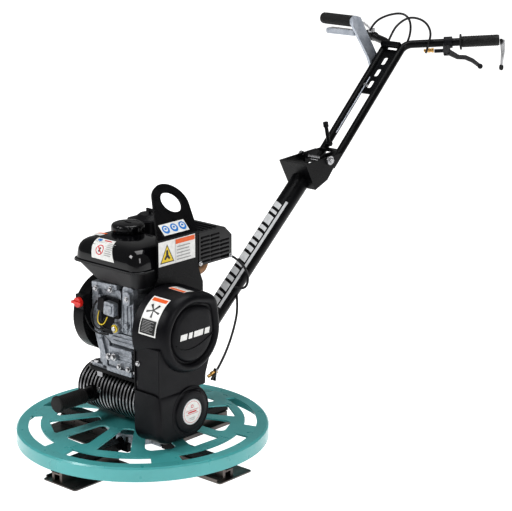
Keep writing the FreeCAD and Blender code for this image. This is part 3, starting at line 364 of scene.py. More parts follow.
def finned_housing():
    """Black casting whose fins are machined bright on their rims, about the worm's axis."""
    s = Shader("FinnedHousing", (0.012, 0.012, 0.013), 0.36)
    worm_axis, across = (0, -0.040, 0.158), (0, 1, 1)
    from_axis = s.computed("ShaderNodeVectorMath", "SUBTRACT", s.place, worm_axis).outputs["Vector"]
    flat = s.computed("ShaderNodeVectorMath", "MULTIPLY", from_axis, across).outputs["Vector"]
    radius = s.computed("ShaderNodeVectorMath", "LENGTH", flat).outputs["Value"]
    reach = s.computed("ShaderNodeMath", "ADD", radius)
    s.links.new(s.values(s.noise(180, 3), -0.0006, 0.0006), reach.inputs[1])
    bright = s.values(reach.outputs["Value"], 0.0, 1.0, 0.0572, 0.0578)
    s.feed("Base Color", s.ramp(bright, [(0.0, (0.010, 0.010, 0.011)), (1.0, (0.34, 0.34, 0.35))]))
    s.feed("Metallic", bright)
    s.bump(s.noise(300, 4), 0.0003)
    return s.material


def glossy_black():
    s = Shader("GlossyBlack", (0.004, 0.004, 0.005), 0.2, Specular_IOR_Level=0.35)
    s.soft_edges(0.0006)
    s.mottle(24, 4, (0.003, 0.003, 0.004), (0.007, 0.007, 0.008))
    s.rough(0.15, 0.26, 70, 4)
    s.bump(s.noise(420, 2), 0.0001)
    return s.material


def yellow_wire():
    s = Shader("YellowWire", (0.75, 0.55, 0.03), 0.4)
    s.mottle(90, 3, (0.62, 0.45, 0.02), (0.82, 0.62, 0.05))
    s.bump(s.noise(700, 2), 0.0001)
    return s.material


MATERIALS = {maker.__name__: maker for maker in (
    ring_paint, black_paint, tank_paint, satin_tank, moulded_black, cast_alloy, lever_alloy, steel,
    spring_steel, cast_iron, bronze, rubber, cable_jacket, red_plastic, rusty_steel, finned_housing,
    glossy_black, yellow_wire)}
made = {}


def material(name):
    """Each material is made once, when it is first asked for."""
    if name not in made:
        made[name] = MATERIALS[name]()
    return made[name]


# ------------ mesh helpers


def object_from(bm, name, solid=True):
    """Turns bm into an object of the scene; a solid's faces are all turned outwards."""
    mesh = bpy.data.meshes.new(name)
    if solid:
        bmesh.ops.recalc_face_normals(bm, faces=bm.faces)
    bm.to_mesh(mesh)
    bm.free()
    obj = bpy.data.objects.new(name, mesh)
    bpy.context.scene.collection.objects.link(obj)
    return obj


def smooth(obj, angle=35):
    """Smooth shading, but for edges sharper than the angle."""
    obj.data.shade_smooth()
    obj.data.set_sharp_from_angle(angle=math.radians(angle))


def finished(obj, body, slot, finish=None, bevel=0, stands_for=()):
    """Gives a new piece its finish (the slot's material unless another finish is named), softened edges and
    CAD body.
    """
    obj.data.materials.append(material(finish or slot))
    if bevel:
        edge = obj.modifiers.new("SoftEdges", "BEVEL")
        edge.width = bevel / 1000
        edge.segments = 3
        edge.limit_method = "ANGLE"
        edge.angle_limit = math.radians(32)
    if obj.type == "MESH":
        smooth(obj)
    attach(obj, body)
    if stands_for:
        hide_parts(*stands_for)
    return obj


def frame_at(origin, direction):
    """Matrix whose Z runs along direction, placed at a point given in millimetres."""
    z = Vector(direction).normalized()
    y = z.cross(X if abs(z.x) < 0.9 else Y).normalized()
    x = y.cross(z)
    basis = Matrix((x, y, z)).transposed().to_4x4()
    return Matrix.Translation(mm(*origin)) @ basis


def add_loops(bm, loops, closed=True):
    """Skins loops of equal length into bm, in order, with or without a face at each end."""
    rings = [[bm.verts.new(point) for point in loop] for loop in loops]
    count = len(rings[0])
    for low, high in zip(rings, rings[1:]):
        for n in range(count):
            after = (n + 1) % count
            bm.faces.new((low[n], low[after], high[after], high[n]))
    for ring in (rings[0], rings[-1]) if closed else ():
        bm.faces.new(ring)


def add_lathe(bm, profile, place, count=48, shape=None):
    """Solid of revolution from (radius, height) pairs in millimetres; shape scales a radius by angle."""
    loops = []
    for radius, height in profile:
        loop = []
        for angle in angles(count):
            reach = radius * (shape(angle, radius) if shape else 1)
            loop.append(place @ mm(reach * math.cos(angle), reach * math.sin(angle), height))
        loops.append(loop)
    add_loops(bm, loops)


def lathe(name, profile, origin, direction, count=48, shape=None):
    bm = bmesh.new()
    add_lathe(bm, profile, frame_at(origin, direction), count, shape)
    return object_from(bm, name)


def add_prism(bm, outline, low, high, to_world):
    """Prism of a flat outline between two heights; to_world turns (a, b, height) into a point."""
    add_loops(bm, [[to_world(a, b, height) for a, b in outline] for height in (low, high)])


def prism(name, outline, low, high, to_world):
    bm = bmesh.new()
    add_prism(bm, outline, low, high, to_world)
    return object_from(bm, name)


def in_yz(a, b, height):
    """Outline in Y and Z, raised along X."""
    return mm(height, a, b)


def in_xy(a, b, height):
    """Outline in X and Y, raised along Z."""
    return mm(a, b, height)


def in_xz(a, b, height):
    """Outline in X and Z, raised along Y."""
    return mm(a, height, b)


def rounded(points, radius, steps=6):
    """Outline with each corner turned into a bend; radius is one number or one for each corner."""
    outline = []
    radii = radius if isinstance(radius, (list, tuple)) else [radius] * len(points)
    for n, point in enumerate(points):
        corner = Vector(point)
        before = (Vector(points[n - 1]) - corner).normalized()
        after = (Vector(points[(n + 1) % len(points)]) - corner).normalized()
        half = before.angle(after) / 2
        reach = radii[n] / math.tan(half)
        start, end = corner + before * reach, corner + after * reach
        for k in range(steps + 1):
            t = k / steps
            outline.append((1 - t) ** 2 * start + 2 * t * (1 - t) * corner + t ** 2 * end)
    return [(p.x, p.y) for p in outline]


def inset(outline, distance):
    """Moves each point of an anticlockwise outline inwards."""
    moved = []
    count = len(outline)
    for n in range(count):
        before, after = Vector(outline[n - 1]), Vector(outline[(n + 1) % count])
        along = (after - before).normalized()
        moved.append((outline[n][0] - along.y * distance, outline[n][1] + along.x * distance))
    return moved


def stepped(name, outline, sections, to_world):
    """Skins one outline through (inset, height) sections."""
    bm = bmesh.new()
    add_loops(bm, [[to_world(a, b, height) for a, b in inset(outline, distance)]
                   for distance, height in sections])
    return object_from(bm, name)


def curve(name, points, radius):
    """Round bar along one smooth NURBS line through the frame, points in millimetres."""
    data = bpy.data.curves.new(name, "CURVE")
    data.dimensions = "3D"
    data.bevel_depth = radius / 1000
    data.bevel_resolution = 5
    data.resolution_u = 16
    data.use_fill_caps = True
    spline = data.splines.new("NURBS")
    spline.points.add(len(points) - 1)
    for target, point in zip(spline.points, points):
        target.co = (*mm(*point), 1)
    spline.order_u = 3
    spline.use_endpoint_u = True
    obj = bpy.data.objects.new(name, data)
    bpy.context.scene.collection.objects.link(obj)
    return obj


def add_hex_bolt(bm, origin, direction, across, high, washer):
    """Hexagon head with a chamfered top on a washer."""
    place = frame_at(origin, direction)
    add_lathe(bm, [(washer, 0), (washer, 1.2), (washer - 0.4, 1.5), (across, 1.5)], place, 24)
    add_lathe(bm, [(across, 1.2), (across, high), (across * 0.86, high + 0.9), (across * 0.5, high + 0.7)],
              place, 6)


def bolts(name, places, direction, body, across, high, washer):
    bm = bmesh.new()
    for origin in places:
        add_hex_bolt(bm, origin, direction, across, high, washer)
    finished(object_from(bm, name), body, "steel")


# ------------ printed labels


INKS = {"white": (0.82, 0.82, 0.8), "orange": (0.8, 0.13, 0.02), "yellow": (0.85, 0.62, 0.02),
        "blue": (0.03, 0.22, 0.62), "red": (0.62, 0.02, 0.03), "black": (0.015, 0.015, 0.015),
        "grey": (0.36, 0.36, 0.36), "silver": (0.55, 0.56, 0.57)}


def ink(color):
    """Material of one printing ink."""
    key = "ink_" + color
    if key not in made:
        tone = INKS[color]
        s = Shader("Print" + color.title(), tone, 0.38)
        darker = tuple(0.85 * part for part in tone)
        s.mottle(120, 4, darker, tone)
        s.rough(0.3, 0.48, 200, 3)
        s.bump(s.noise(900, 2), 0.00005)
        made[key] = s.material
    return made[key]


# A mark is a colour, a kind and an outline, in millimetres on the label's own surface.


def disc_mark(color, centre, radius, hole=0):
    return color, "disc", (centre, radius, hole)


def rect_mark(color, left, low, right, high):
    return color, "poly", [(left, low), (right, low), (right, high), (left, high)]


def poly_mark(color, *points):
    return color, "poly", list(points)


def between(start, end, t):
    return start[0] + (end[0] - start[0]) * t, start[1] + (end[1] - start[1]) * t


def circle(centre, radius, count):
    u, v = centre
    return [(u + radius * math.cos(turn), v + radius * math.sin(turn)) for turn in angles(count)]


def densely(points):
    """Outline with points about 4 mm apart, so that it can follow a bent surface."""
    dense = []
    for point, following in zip(points, [*points[1:], points[0]]):
        parts = max(1, int(math.dist(point, following) / 4))
        dense += [between(point, following, k / parts) for k in range(parts)]
    return dense


def add_band(bm, outer, inner, ink_index):
    """Ring of faces between two rows of vertices."""
    count = len(outer)
    for n in range(count):
        after = (n + 1) % count
        bm.faces.new((outer[n], outer[after], inner[after], inner[n])).material_index = ink_index


def add_patch(bm, points, surface, lift, ink_index):
    """Flat or bent sheet over an outline: rings that shrink towards its middle, and a fan inside them."""
    dense = densely(points)
    middle = (sum(p[0] for p in dense) / len(dense), sum(p[1] for p in dense) / len(dense))
    rings = 6
    layers = [[bm.verts.new(surface(*between(middle, point, 1 - k / rings), lift)) for point in dense]
              for k in range(rings)]
    tip = bm.verts.new(surface(*middle, lift))
    for outer, inner in zip(layers, layers[1:]):
        add_band(bm, outer, inner, ink_index)
    last = layers[-1]
    for vert, following in zip(last, [*last[1:], last[0]]):
        bm.faces.new((vert, following, tip)).material_index = ink_index


def add_annulus(bm, centre, radius, hole, surface, lift, ink_index):
    outer, inner = ([bm.verts.new(surface(u, v, lift)) for u, v in circle(centre, reach, 32)]
                    for reach in (radius, hole))
    add_band(bm, outer, inner, ink_index)


def label(name, surface, marks, body):
    """Printed sheet of marks, each a little above the one before; surface(u, v, lift) gives a point."""
    bm = bmesh.new()
    colors = []
    for n, (color, kind, data) in enumerate(marks):
        if color not in colors:
            colors.append(color)
        index = colors.index(color)
        lift = 0.25 + 0.12 * n
        if kind == "poly":
            add_patch(bm, data, surface, lift, index)
        elif data[2]:
            add_annulus(bm, *data, surface, lift, index)
        else:
            centre, radius, _ = data
            add_patch(bm, circle(centre, radius, 28), surface, lift, index)
    obj = object_from(bm, name, solid=False)
    for color in colors:
        obj.data.materials.append(ink(color))
    smooth(obj, 60)
    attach(obj, body)


def rules(color, left, right, low, high, count):
    """Plain bars that stand for lines of small print."""
    random.seed(count)
    marks = []
    pitch = (high - low) / count
    for n in range(count):
        end = right - (right - left) * random.uniform(0.0, 0.3)
        base = low + pitch * n + pitch * 0.3
        marks.append(rect_mark(color, left, base, end, base + pitch * 0.3))
    return marks


# ------------ belt guard


DRUM_FACE = 214
DRUM_DEPTH = 92
DRUM_RADIUS = 94


def drum_place(x):
    """Centre and radius of the upper drum's wall, which tapers a little towards its face."""
    along = 1 - (DRUM_FACE - x) / DRUM_DEPTH
    return -51 + 11 * along, 353 - 3 * along, DRUM_RADIUS + 5 - 5 * along


def on_drum(x, angle, lift):
    """Point over the drum's wall."""
    y, z, radius = drum_place(x)
    reach = radius + lift
    return mm(x, y + reach * math.cos(angle), z + reach * math.sin(angle))


def ear(angle, radius):
    """The drum swells to a soft corner, up and back, where the cover meets the handle's side."""
    offset = (angle - math.radians(42)) / math.radians(17)
    return 1 + 0.15 * math.exp(-offset ** 2) * min(1, radius / 80)


def drum_point(angle, radius, x):
    y, z, wall = drum_place(x)
    reach = (wall + radius - DRUM_RADIUS) * ear(angle, radius)
    return mm(x, y + reach * math.cos(angle), z + reach * math.sin(angle))


def upper_drum():
    """Rounded rim, a sunk channel and a raised middle, drawn as (radius at the face, x)."""
    profile = [(60, 123), (94, 123), (94, 150), (94, 178), (93.6, 194), (92.4, 202), (90, 208), (86.5, 212),
               (82, 214), (77, 213.6), (73.5, 211.4), (71.5, 208), (70.5, 205.8), (68, 205), (66.2, 205.6),
               (65, 208), (63.6, 211), (60, 213), (52, 213.8), (30, 214), (8, 214)]
    bm = bmesh.new()
    add_loops(bm, [[drum_point(turn, radius, x) for turn in angles(128)] for radius, x in profile])
    drum = object_from(bm, "guard_upper_drum")
    finished(drum, "chassis", "moulded_black", stands_for=("belt_guard",))


def boss_crease():
    """Raised line that sweeps across the drum's middle, ending at the soft corner."""
    points = [(214.2, -98, 334), (214.6, -80, 318), (214.6, -40, 316), (214.6, 4, 330), (214.2, 22, 340)]
    finished(curve("guard_crease", points, 1.1), "chassis", "moulded_black")


def lower_outline():
    """Round nose about the worm's axis, running into a straight front with a large lower corner."""
    nose = [math.radians(-90 + 10 * n) for n in range(16)]
    corner = [math.radians(180 + 10 * n) for n in range(10)]
    return ([(-42 + 67 * math.cos(a), 160 + 67 * math.sin(a)) for a in nose] + [(-146, 222)]
            + [(-106 + 41 * math.cos(a), 134 + 41 * math.sin(a)) for a in corner])


def lower_drum():
    """Flat-faced lower housing with a stepped round cover over the worm shaft's pulley."""
    sections = [(2, 123), (0, 124), (0.4, 180), (2, 190), (5, 197), (9, 201), (13, 202), (24, 202)]
    body = stepped("guard_lower_drum", lower_outline(), sections, in_yz)
    finished(body, "chassis", "moulded_black")
    profile = [(60, 196), (60, 202.4), (57.5, 202), (55, 199.5), (52.5, 199.5), (51, 202), (49, 205.5),
               (44, 207), (33, 207.4), (32, 206.8), (20, 206.8), (4, 206.8)]
    face = lathe("guard_lower_face", profile, (0, -42, 160), X, 72)
    finished(face, "chassis", "moulded_black")


def guard_neck():
    """Straight wall between the two drums, with a slot and a bolt in its front edge."""
    corners = [(-141, 214), (12, 214), (14, 240), (36, 300), (44, 330), (-141, 330)]
    neck = prism("guard_neck", rounded(corners, [2, 4, 30, 30, 4, 2], 4), 123, 199, in_yz)
    finished(neck, "chassis", "moulded_black", bevel=1.6)
    slot = prism("guard_neck_slot", rounded([(124, 232), (133, 232), (133, 244), (124, 244)], 1.5, 2),
                 -141.6, -138, in_xz)
    finished(slot, "chassis", "cable_jacket")
    bolts("guard_bolt", [(132, -141, 286)], -Y, "chassis", 4.6, 4, 6.5)


def badge():
    """Round plate with plain rings and bars in the middle of the lower face."""
    def surface(u, v, lift):
        return mm(206.8 + lift, -42 + u, 160 + v)

    marks = [disc_mark("silver", (0, 0), 31), disc_mark("white", (0, 0), 29),
             disc_mark("red", (0, 0), 26.5, 25.6), rect_mark("red", -20, -5, 20, -4),
             rect_mark("red", -20, 4, 20, 5), rect_mark("red", -14, -1.6, 14, 1.6),
             disc_mark("red", (0, 14), 4, 2.6), rect_mark("grey", -10, -15, 10, -14),
             rect_mark("grey", -7, -19, 7, -18)]
    label("guard_badge", surface, marks, "chassis")


def drum_mark():
    """Row of plain slanting blocks across the drum's face."""
    def face(u, v, lift):
        return mm(DRUM_FACE + lift, u, v)

    marks = []
    left, low, high, slant = -86, 343, 357, 3
    for width in (22, 12, 30, 16):
        right = left + width
        marks.append(poly_mark("white", (left, low), (right, low),
                               (right + slant, high), (left + slant, high)))
        left = right + 5
    label("guard_plain_mark", face, marks, "chassis")


def fan_label():
    """Tall label on the drum's front wall, with a five-bladed fan and small print."""
    def wall(u, v, lift):
        x = 141 + u
        radius = drum_place(x)[2]
        return on_drum(x, math.radians(117) + v / (radius + lift), lift)

    marks = [rect_mark("white", 0, 0, 46, 98), rect_mark("orange", 3, 4, 43, 14)]
    hub = (23, 38)
    for turn in angles(5):
        along = Vector((math.cos(turn + 0.3), math.sin(turn + 0.3)))
        across = Vector((-along.y, along.x))
        inner, outer = Vector(hub) + along * 3, Vector(hub) + along * 18
        marks.append(poly_mark("black", tuple(inner - across * 1.2), tuple(outer - across * 3.2),
                               tuple(outer + across * 2.6), tuple(inner + across * 1.2)))
    marks += [disc_mark("black", hub, 3.4), rect_mark("black", 3, 62, 43, 95)]
    marks += rules("grey", 7, 39, 65, 93, 8)
    label("guard_fan_label", wall, marks, "chassis")


def crown_label():
    """Wide label on top of the drum."""
    def crown(u, v, lift):
        x = 145 + u
        return on_drum(x, math.radians(93) - v / drum_place(x)[2], lift)

    marks = [rect_mark("white", 0, 0, 46, 34), rect_mark("orange", 2, 1, 44, 10)]
    marks += rules("grey", 6, 42, 14, 32, 4)
    label("guard_top_label", crown, marks, "chassis")


def belt_cover():
    upper_drum()
    boss_crease()
    lower_drum()
    guard_neck()
    badge()
    drum_mark()
    fan_label()
    crown_label()


# ------------ fuel tank

TANK_LEFT, TANK_RIGHT, TANK_FRONT, TANK_BACK = -112, 106, -115, 58
TANK_CROWN = ((0, 487), (1, 502), (2.5, 513), (6, 523), (12, 531), (20, 536), (31, 539), (48, 540.6),
              (66, 541))
CAP_CENTRE = (-44, 4, 0)


def tank_loop(distance, height, radius=33):
    """The tank's plan, drawn in by a distance, with corners that tighten as it gets smaller."""
    left, right = TANK_LEFT + distance, TANK_RIGHT - distance
    front, back = TANK_FRONT + distance, TANK_BACK - distance
    corners = [(left, front), (right, front), (right, back), (left, back)]
    return [mm(x, y, height) for x, y in rounded(corners, max(radius - 0.35 * distance, 6), 9)]


def tank_shell():
    """Crowned upper half of the tank and the rolled flange where its halves meet."""
    bm = bmesh.new()
    add_loops(bm, [tank_loop(distance, height) for distance, height in TANK_CROWN])
    shell = object_from(bm, "tank_shell")
    finished(shell, "chassis", "tank_paint", stands_for=("fuel_tank_upper",))
    smooth(shell, 60)
    bm = bmesh.new()
    add_loops(bm, [tank_loop(distance, height, 36)
                   for distance, height in ((-3.5, 484), (-5, 484.8), (-5, 489), (-3.5, 490), (2, 490.2))])
    finished(object_from(bm, "tank_flange"), "chassis", "tank_paint")


def filler():
    """Steel neck and a cap with shallow finger grips round its rim."""
    profile = [(30, 537), (30, 540.6), (28, 541.4), (27, 543), (20, 543)]
    finished(lathe("filler_neck", profile, CAP_CENTRE, Z, 48), "chassis", "steel")
    profile = [(33, 541.4), (38, 541.4), (39.6, 542.6), (40, 545), (40, 554), (39, 557.5), (36.5, 560.5),
               (32, 562.4), (28, 563), (26.5, 562), (25, 562), (22, 562.8), (10, 563.4), (1, 563.5)]

    def lobes(angle, radius):
        return 1 - (0.03 * max(0.0, math.cos(9 * angle)) ** 6 if radius > 38.5 else 0)

    cap = lathe("cap_with_grips", profile, CAP_CENTRE, Z, 144, lobes)
    finished(cap, "fuel_cap", "moulded_black", "glossy_black", stands_for=("fuel_cap",))
    lug = prism("cap_bar", rounded([(-54, 2), (-34, 2), (-34, 7), (-54, 7)], 2, 3), 562.5, 565, in_xy)
    finished(lug, "fuel_cap", "moulded_black", "glossy_black", bevel=0.5)


def tank_front(u, v, lift):
    """Surface over the tank's front edge: u to the right, v up and over the crown from the seam."""
    walked = 0
    for (d0, z0), (d1, z1) in zip(TANK_CROWN, TANK_CROWN[1:]):
        span = math.dist((d0, z0), (d1, z1))
        if v <= walked + span or (d1, z1) == TANK_CROWN[-1]:
            t = (v - walked) / span
            inward, height = d0 + (d1 - d0) * t, z0 + (z1 - z0) * t
            out = Vector((-(z1 - z0), d1 - d0)) / span
            return mm(u, TANK_FRONT + inward + out.x * lift, height + out.y * lift)
        walked += span


def tank_labels():
    """A label bent over the front edge and a small one on top."""
    marks = [poly_mark("white", (-44, 14), (31, 14), (2, 73), (-56, 73)),
             disc_mark("red", (-22, 36), 12.5), disc_mark("white", (-21.9, 36), 10),
             poly_mark("black", (-26, 31), (-19, 31), (-18, 39), (-21.5, 43), (-25, 38)),
             poly_mark("red", (-30, 42), (-28, 44.5), (-13.6, 30), (-15.6, 27.8)),
             poly_mark("red", (-26, 63), (-2, 63), (-6, 67), (-28, 67)),
             poly_mark("blue", (-46, 60), (-34, 58), (-34, 66), (-47, 68))]
    marks += rules("grey", -4, 20, 24, 58, 7)
    label("tank_label", tank_front, marks, "chassis")

    def top(u, v, lift):
        return mm(-96 + u, -70 + v, 541 + lift - 0.004 * max(0, 30 - u) ** 2)

    marks = [rect_mark("white", 0, 0, 34, 26), rect_mark("orange", 0, 17, 34, 26)]
    label("tank_top_label", top, marks, "chassis")


def fuel_tank():
    tank_shell()
    filler()
    tank_labels()


# ------------ engine

# Outline in X and Z, corner radius, front and back.
FRONT_CASTINGS = (
    ([(-52, 300), (34, 300), (34, 432), (-52, 424)], 8, -98, -88),
    ([(-56, 424), (28, 432), (28, 445), (-56, 440)], 3, -106, -86),
    ([(38, 330), (79, 330), (79, 446), (44, 446)], 10, -102, -86),
    ([(56, 404), (79, 404), (79, 438), (56, 438)], 10, -114, -98),
    ([(-6, 296), (79, 296), (79, 326), (8, 326)], 6, -99, -86),
    ([(-2, 244), (76, 244), (76, 292), (-2, 292)], 6, -107, -86),
    ([(-40, 240), (-4, 240), (-6, 300), (-40, 320)], 10, -100, -86),
    ([(-4, 231), (80, 231), (80, 244), (-4, 244)], 3, -113, -86),
    ([(-46, 408), (-26, 412), (-22, 398), (-40, 372), (-50, 380)], 4, -108, -96),
)
# Name, outline in X and Z, corner radius, front, back, finish and edge.
FRONT_PARTS = (
    # First row: painted shade, a flat black plate on the casting's face that stands for the shade in the
    # hollow behind the coil and wires.
    ("crankcase_painted_shade", [(-31, 318), (8, 318), (12, 372), (-33, 372)], 8, -99.4, -97, "moulded_black", 0),
    ("coil_bracket", [(-26, 362), (34, 362), (36, 410), (-20, 412)], 6, -106, -98, "moulded_black", 1),
    ("sensor_box", [(-4, 372), (32, 370), (33, 402), (0, 405)], 5, -121, -104, "cast_alloy", 2),
    ("sensor_lid", [(6, 379), (26, 378), (27, 396), (8, 397)], 3, -124, -120, "cast_alloy", 1),
    ("ignition_coil", [(-28, 378), (-4, 374), (-2, 408), (-22, 410)], 5, -118, -104, "moulded_black", 2),
)
# X, Z, radius and how far each boss stands out from the machine's middle.
FRONT_BOSSES = ((27, 272, 9, 118), (8, 269, 8, 116), (23, 339, 13, 108), (-34, 312, 10, 108),
                (60, 352, 8, 110), (-38, 426, 7, 110), (12, 432, 7, 110))


def crankcase_front():
    """Flanges, pads and bosses cast on the front wall."""
    bm = bmesh.new()
    for outline, radius, front, back in FRONT_CASTINGS:
        add_prism(bm, rounded(outline, radius, 4), front, back, in_xz)
    for z in (262, 274, 304, 314, 324, 336):
        add_prism(bm, [(8, z), (78, z), (78, z + 3.4), (8, z + 3.4)], -110 if z < 290 else -103, -88, in_xz)
    for x in (44, 58, 70):
        add_prism(bm, [(x, 332), (x + 3, 332), (x + 3, 400), (x, 400)], -105, -88, in_xz)
    finished(object_from(bm, "crankcase_front"), "chassis", "cast_alloy", bevel=1.4)
    bm = bmesh.new()
    for x, z, radius, reach in FRONT_BOSSES:
        height = reach - 90
        profile = [(radius + 2, 0), (radius, 3), (radius, height - 2), (radius - 1.4, height), (1, height)]
        add_lathe(bm, profile, frame_at((x, -90, z), -Y), 28)
    finished(object_from(bm, "crankcase_bosses"), "chassis", "cast_alloy")


def crankcase_edge():
    """Bright edge of the casting beside the blower."""
    outline = [(-54, 424), (-56, 380), (-54, 342), (-47, 308), (-36, 278), (-26, 252), (-23, 232),
               (-7, 232), (-9, 252), (-17, 282), (-27, 310), (-34, 342), (-36, 380), (-33, 424)]
    strip = prism("crankcase_edge", rounded(outline[::-1], 2, 3), -106, -86, in_xz)
    finished(strip, "chassis", "cast_alloy", bevel=2)


def front_parts():
    """Coil, sensor and their bracket, with the bolts and drain plugs round them."""
    for name, corners, radius, front, back, slot, bevel in FRONT_PARTS:
        part = prism(name, rounded(corners, radius, 4), front, back, in_xz)
        finished(part, "chassis", slot, bevel=bevel)
    bolts("engine_bolts", [(70, -114, 421), (40, -113, 250), (70, -113, 250), (-38, -110, 426),
                           (12, -110, 432)], -Y, "chassis", 4.6, 4.4, 7)
    bolts("drain_plugs", [(27, -118, 272), (8, -116, 269)], -Y, "chassis", 5.6, 5, 8.4)


# Name, radius, finish and route.
WIRES = (
    ("wire_yellow", 1.5, "yellow_wire",
     ((-25, -112, 374), (-22, -124, 356), (-6, -128, 346), (8, -126, 352), (6, -116, 366))),
    ("wire_black", 2.2, "cable_jacket",
     ((-30, -114, 398), (-46, -122, 372), (-34, -124, 338), (-8, -122, 330), (14, -114, 338))),
    ("wire_switch", 2.0, "cable_jacket",
     ((-62, -128, 376), (-60, -126, 352), (-44, -120, 328), (-22, -118, 318), (4, -112, 322))),
    ("wire_sensor", 2.4, "cable_jacket",
     ((-2, -112, 362), (-8, -122, 350), (-2, -122, 338), (16, -114, 336))),
)


def wires():
    for name, radius, finish, points in WIRES:
        finished(curve(name, points, radius), "chassis", "cable_jacket", finish)
    ring = lathe("plug_ring", [(6, 0), (9.5, 0), (9.5, 3), (8, 4), (6, 4)], (23, -108, 339), -Y, 36)
    finished(ring, "chassis", "cable_jacket", "yellow_wire")
    core = lathe("plug_core", [(6.4, 0), (6.4, 6), (5, 7), (1, 7)], (23, -108, 339), -Y, 28)
    finished(core, "chassis", "steel")


def add_hood(bm, surface, u, v, width, height, rise):
    """Pressed hood: long slot, raised along its upper side."""
    left, right = u - width / 2, u + width / 2
    low, high = v - height / 2, v + height / 2
    base = [(left, low), (right, low), (right, high), (left, high)]
    crest = [(left + 1.4, low + 0.2), (right - 1.4, low + 0.2), (right - 2.2, low + height * 0.4),
             (left + 2.2, low + height * 0.4)]
    add_loops(bm, [[surface(a, b, -0.6) for a, b in base], [surface(a, b, rise) for a, b in crest]])


def muffler_shroud():
    """Open-bottomed sheet box with a sloping back corner."""
    outline = [(126, 451), (241, 451), (241, 508), (216, 532), (126, 532)]
    bm = bmesh.new()
    add_prism(bm, rounded(outline, [0.5, 0.5, 5, 5, 5], 3), -36, 72, in_yz)
    bm.normal_update()
    floor = [face for face in bm.faces if all(vert.co.z < 0.4525 for vert in face.verts)]
    bmesh.ops.delete(bm, geom=floor, context="FACES")
    shell = object_from(bm, "muffler_shroud")
    sheet = shell.modifiers.new("Sheet", "SOLIDIFY")
    sheet.thickness = 0.002
    sheet.offset = -1
    finished(shell, "chassis", "black_paint", "glossy_black", bevel=1.2, stands_for=("muffler_guard",))


def muffler_hoods():
    """Rows of pressed hoods on the shroud's right, back and top."""
    def right_side(u, v, lift):
        return mm(72 + lift, u, v)

    def back(u, v, lift):
        return mm(u, 241 + lift, v)

    def top(u, v, lift):
        return mm(u, v, 532 + lift)

    bm = bmesh.new()
    for column in range(3):
        for row in range(7):
            # Under the sloping corner there is room for five; the last two lie on the lowest one.
            place = row if column < 2 or row < 5 else 0
            add_hood(bm, right_side, 148.5 + 34 * column, 459 + 10 * place, 30, 6.5, 3.2)
        for row in range(5):
            add_hood(bm, back, -16 + 34 * column, 459 + 10 * row, 30, 6.5, 2.6)
    for row in range(5):
        add_hood(bm, top, 18, 140 + 15 * row, 84, 7, 2.6)
    finished(object_from(bm, "muffler_hoods"), "chassis", "black_paint", "glossy_black", bevel=0.4)
    bolts("muffler_bolts", [(72, 131, 456), (72, 236, 456)], X, "chassis", 4, 3.4, 6)


def recoil_slots():
    """Ring of cooling slots in the starter's cover, with its hub."""
    def polar(u, v, lift):
        angle = u / 70
        return mm(-92 - (94 - v) * 0.62 - lift, -40 + v * math.cos(angle), 350 + v * math.sin(angle))

    bm = bmesh.new()
    for turn in angles(22):
        add_hood(bm, polar, 70 * turn, 78, 9, 13, 1.6)
    finished(object_from(bm, "recoil_hoods"), "chassis", "black_paint", "glossy_black", bevel=0.3)
    profile = [(34, 0), (34, 1.2), (31, 1.8), (28, 0.9), (8, 0.9), (1, 0.9)]
    finished(lathe("recoil_hub", profile, (-122.6, -40, 350), -X, 64), "chassis", "moulded_black")


def starter_rope():
    """Rope between the starter and its grip."""
    start = Vector((-106, 22, 401))
    pull = Vector((0, 0.928477, 0.371391))
    radius, length = 1.9, 30
    rope = lathe("starter_rope", [(radius, 0), (radius, length)], start, pull, 16)
    rope.data.materials.append(material("cable_jacket"))
    smooth(rope)
    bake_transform(rope)


def engine():
    crankcase_front()
    crankcase_edge()
    front_parts()
    wires()
    muffler_shroud()
    muffler_hoods()
    recoil_slots()
    starter_rope()


# ------------ lifting bracket

LEAN = math.radians(44)


def leaf_face(u, v, lift):
    """Outer face of the leaning leaf: u across it, v up its slope."""
    out = 6 + lift
    x = 112 - math.sin(LEAN) * v + math.cos(LEAN) * out
    return mm(x, u, 556 + math.cos(LEAN) * v + math.sin(LEAN) * out)


def bracket_labels():
    """A wide label on the bracket's upright face and one with three round signs on its leaning leaf."""
    def upright(u, v, lift):
        return mm(118 + lift, u, v)

    marks = [rect_mark("black", -57, 493, 66, 553), rect_mark("white", -56, 494, 65, 552),
             poly_mark("black", (-28, 544), (-51, 500), (-5, 500)),
             poly_mark("yellow", (-28, 539.5), (-47.4, 502.4), (-8.6, 502.4)),
             poly_mark("black", (-31, 530), (-25, 530), (-24, 518), (-18, 510), (-22, 507), (-28, 513),
                       (-34, 507), (-38, 510), (-32, 518)),
             rect_mark("grey", -1.4, 496, -0.6, 550), rect_mark("orange", 0, 539, 63, 550)]
    marks += rules("grey", 3, 60, 498, 536, 5)
    label("bracket_warning_plate", upright, marks, "chassis")
    marks = [rect_mark("white", -31, 4, 52, 34)]
    for u in (-16, 11, 38):
        marks += [disc_mark("blue", (u, 19), 11), disc_mark("white", (u, 20), 6.4, 3.6),
                  rect_mark("white", u - 4.5, 16, u + 4.5, 18.4)]
    label("bracket_safety_plate", leaf_face, marks, "chassis")


# ------------ gearbox and carrying handle


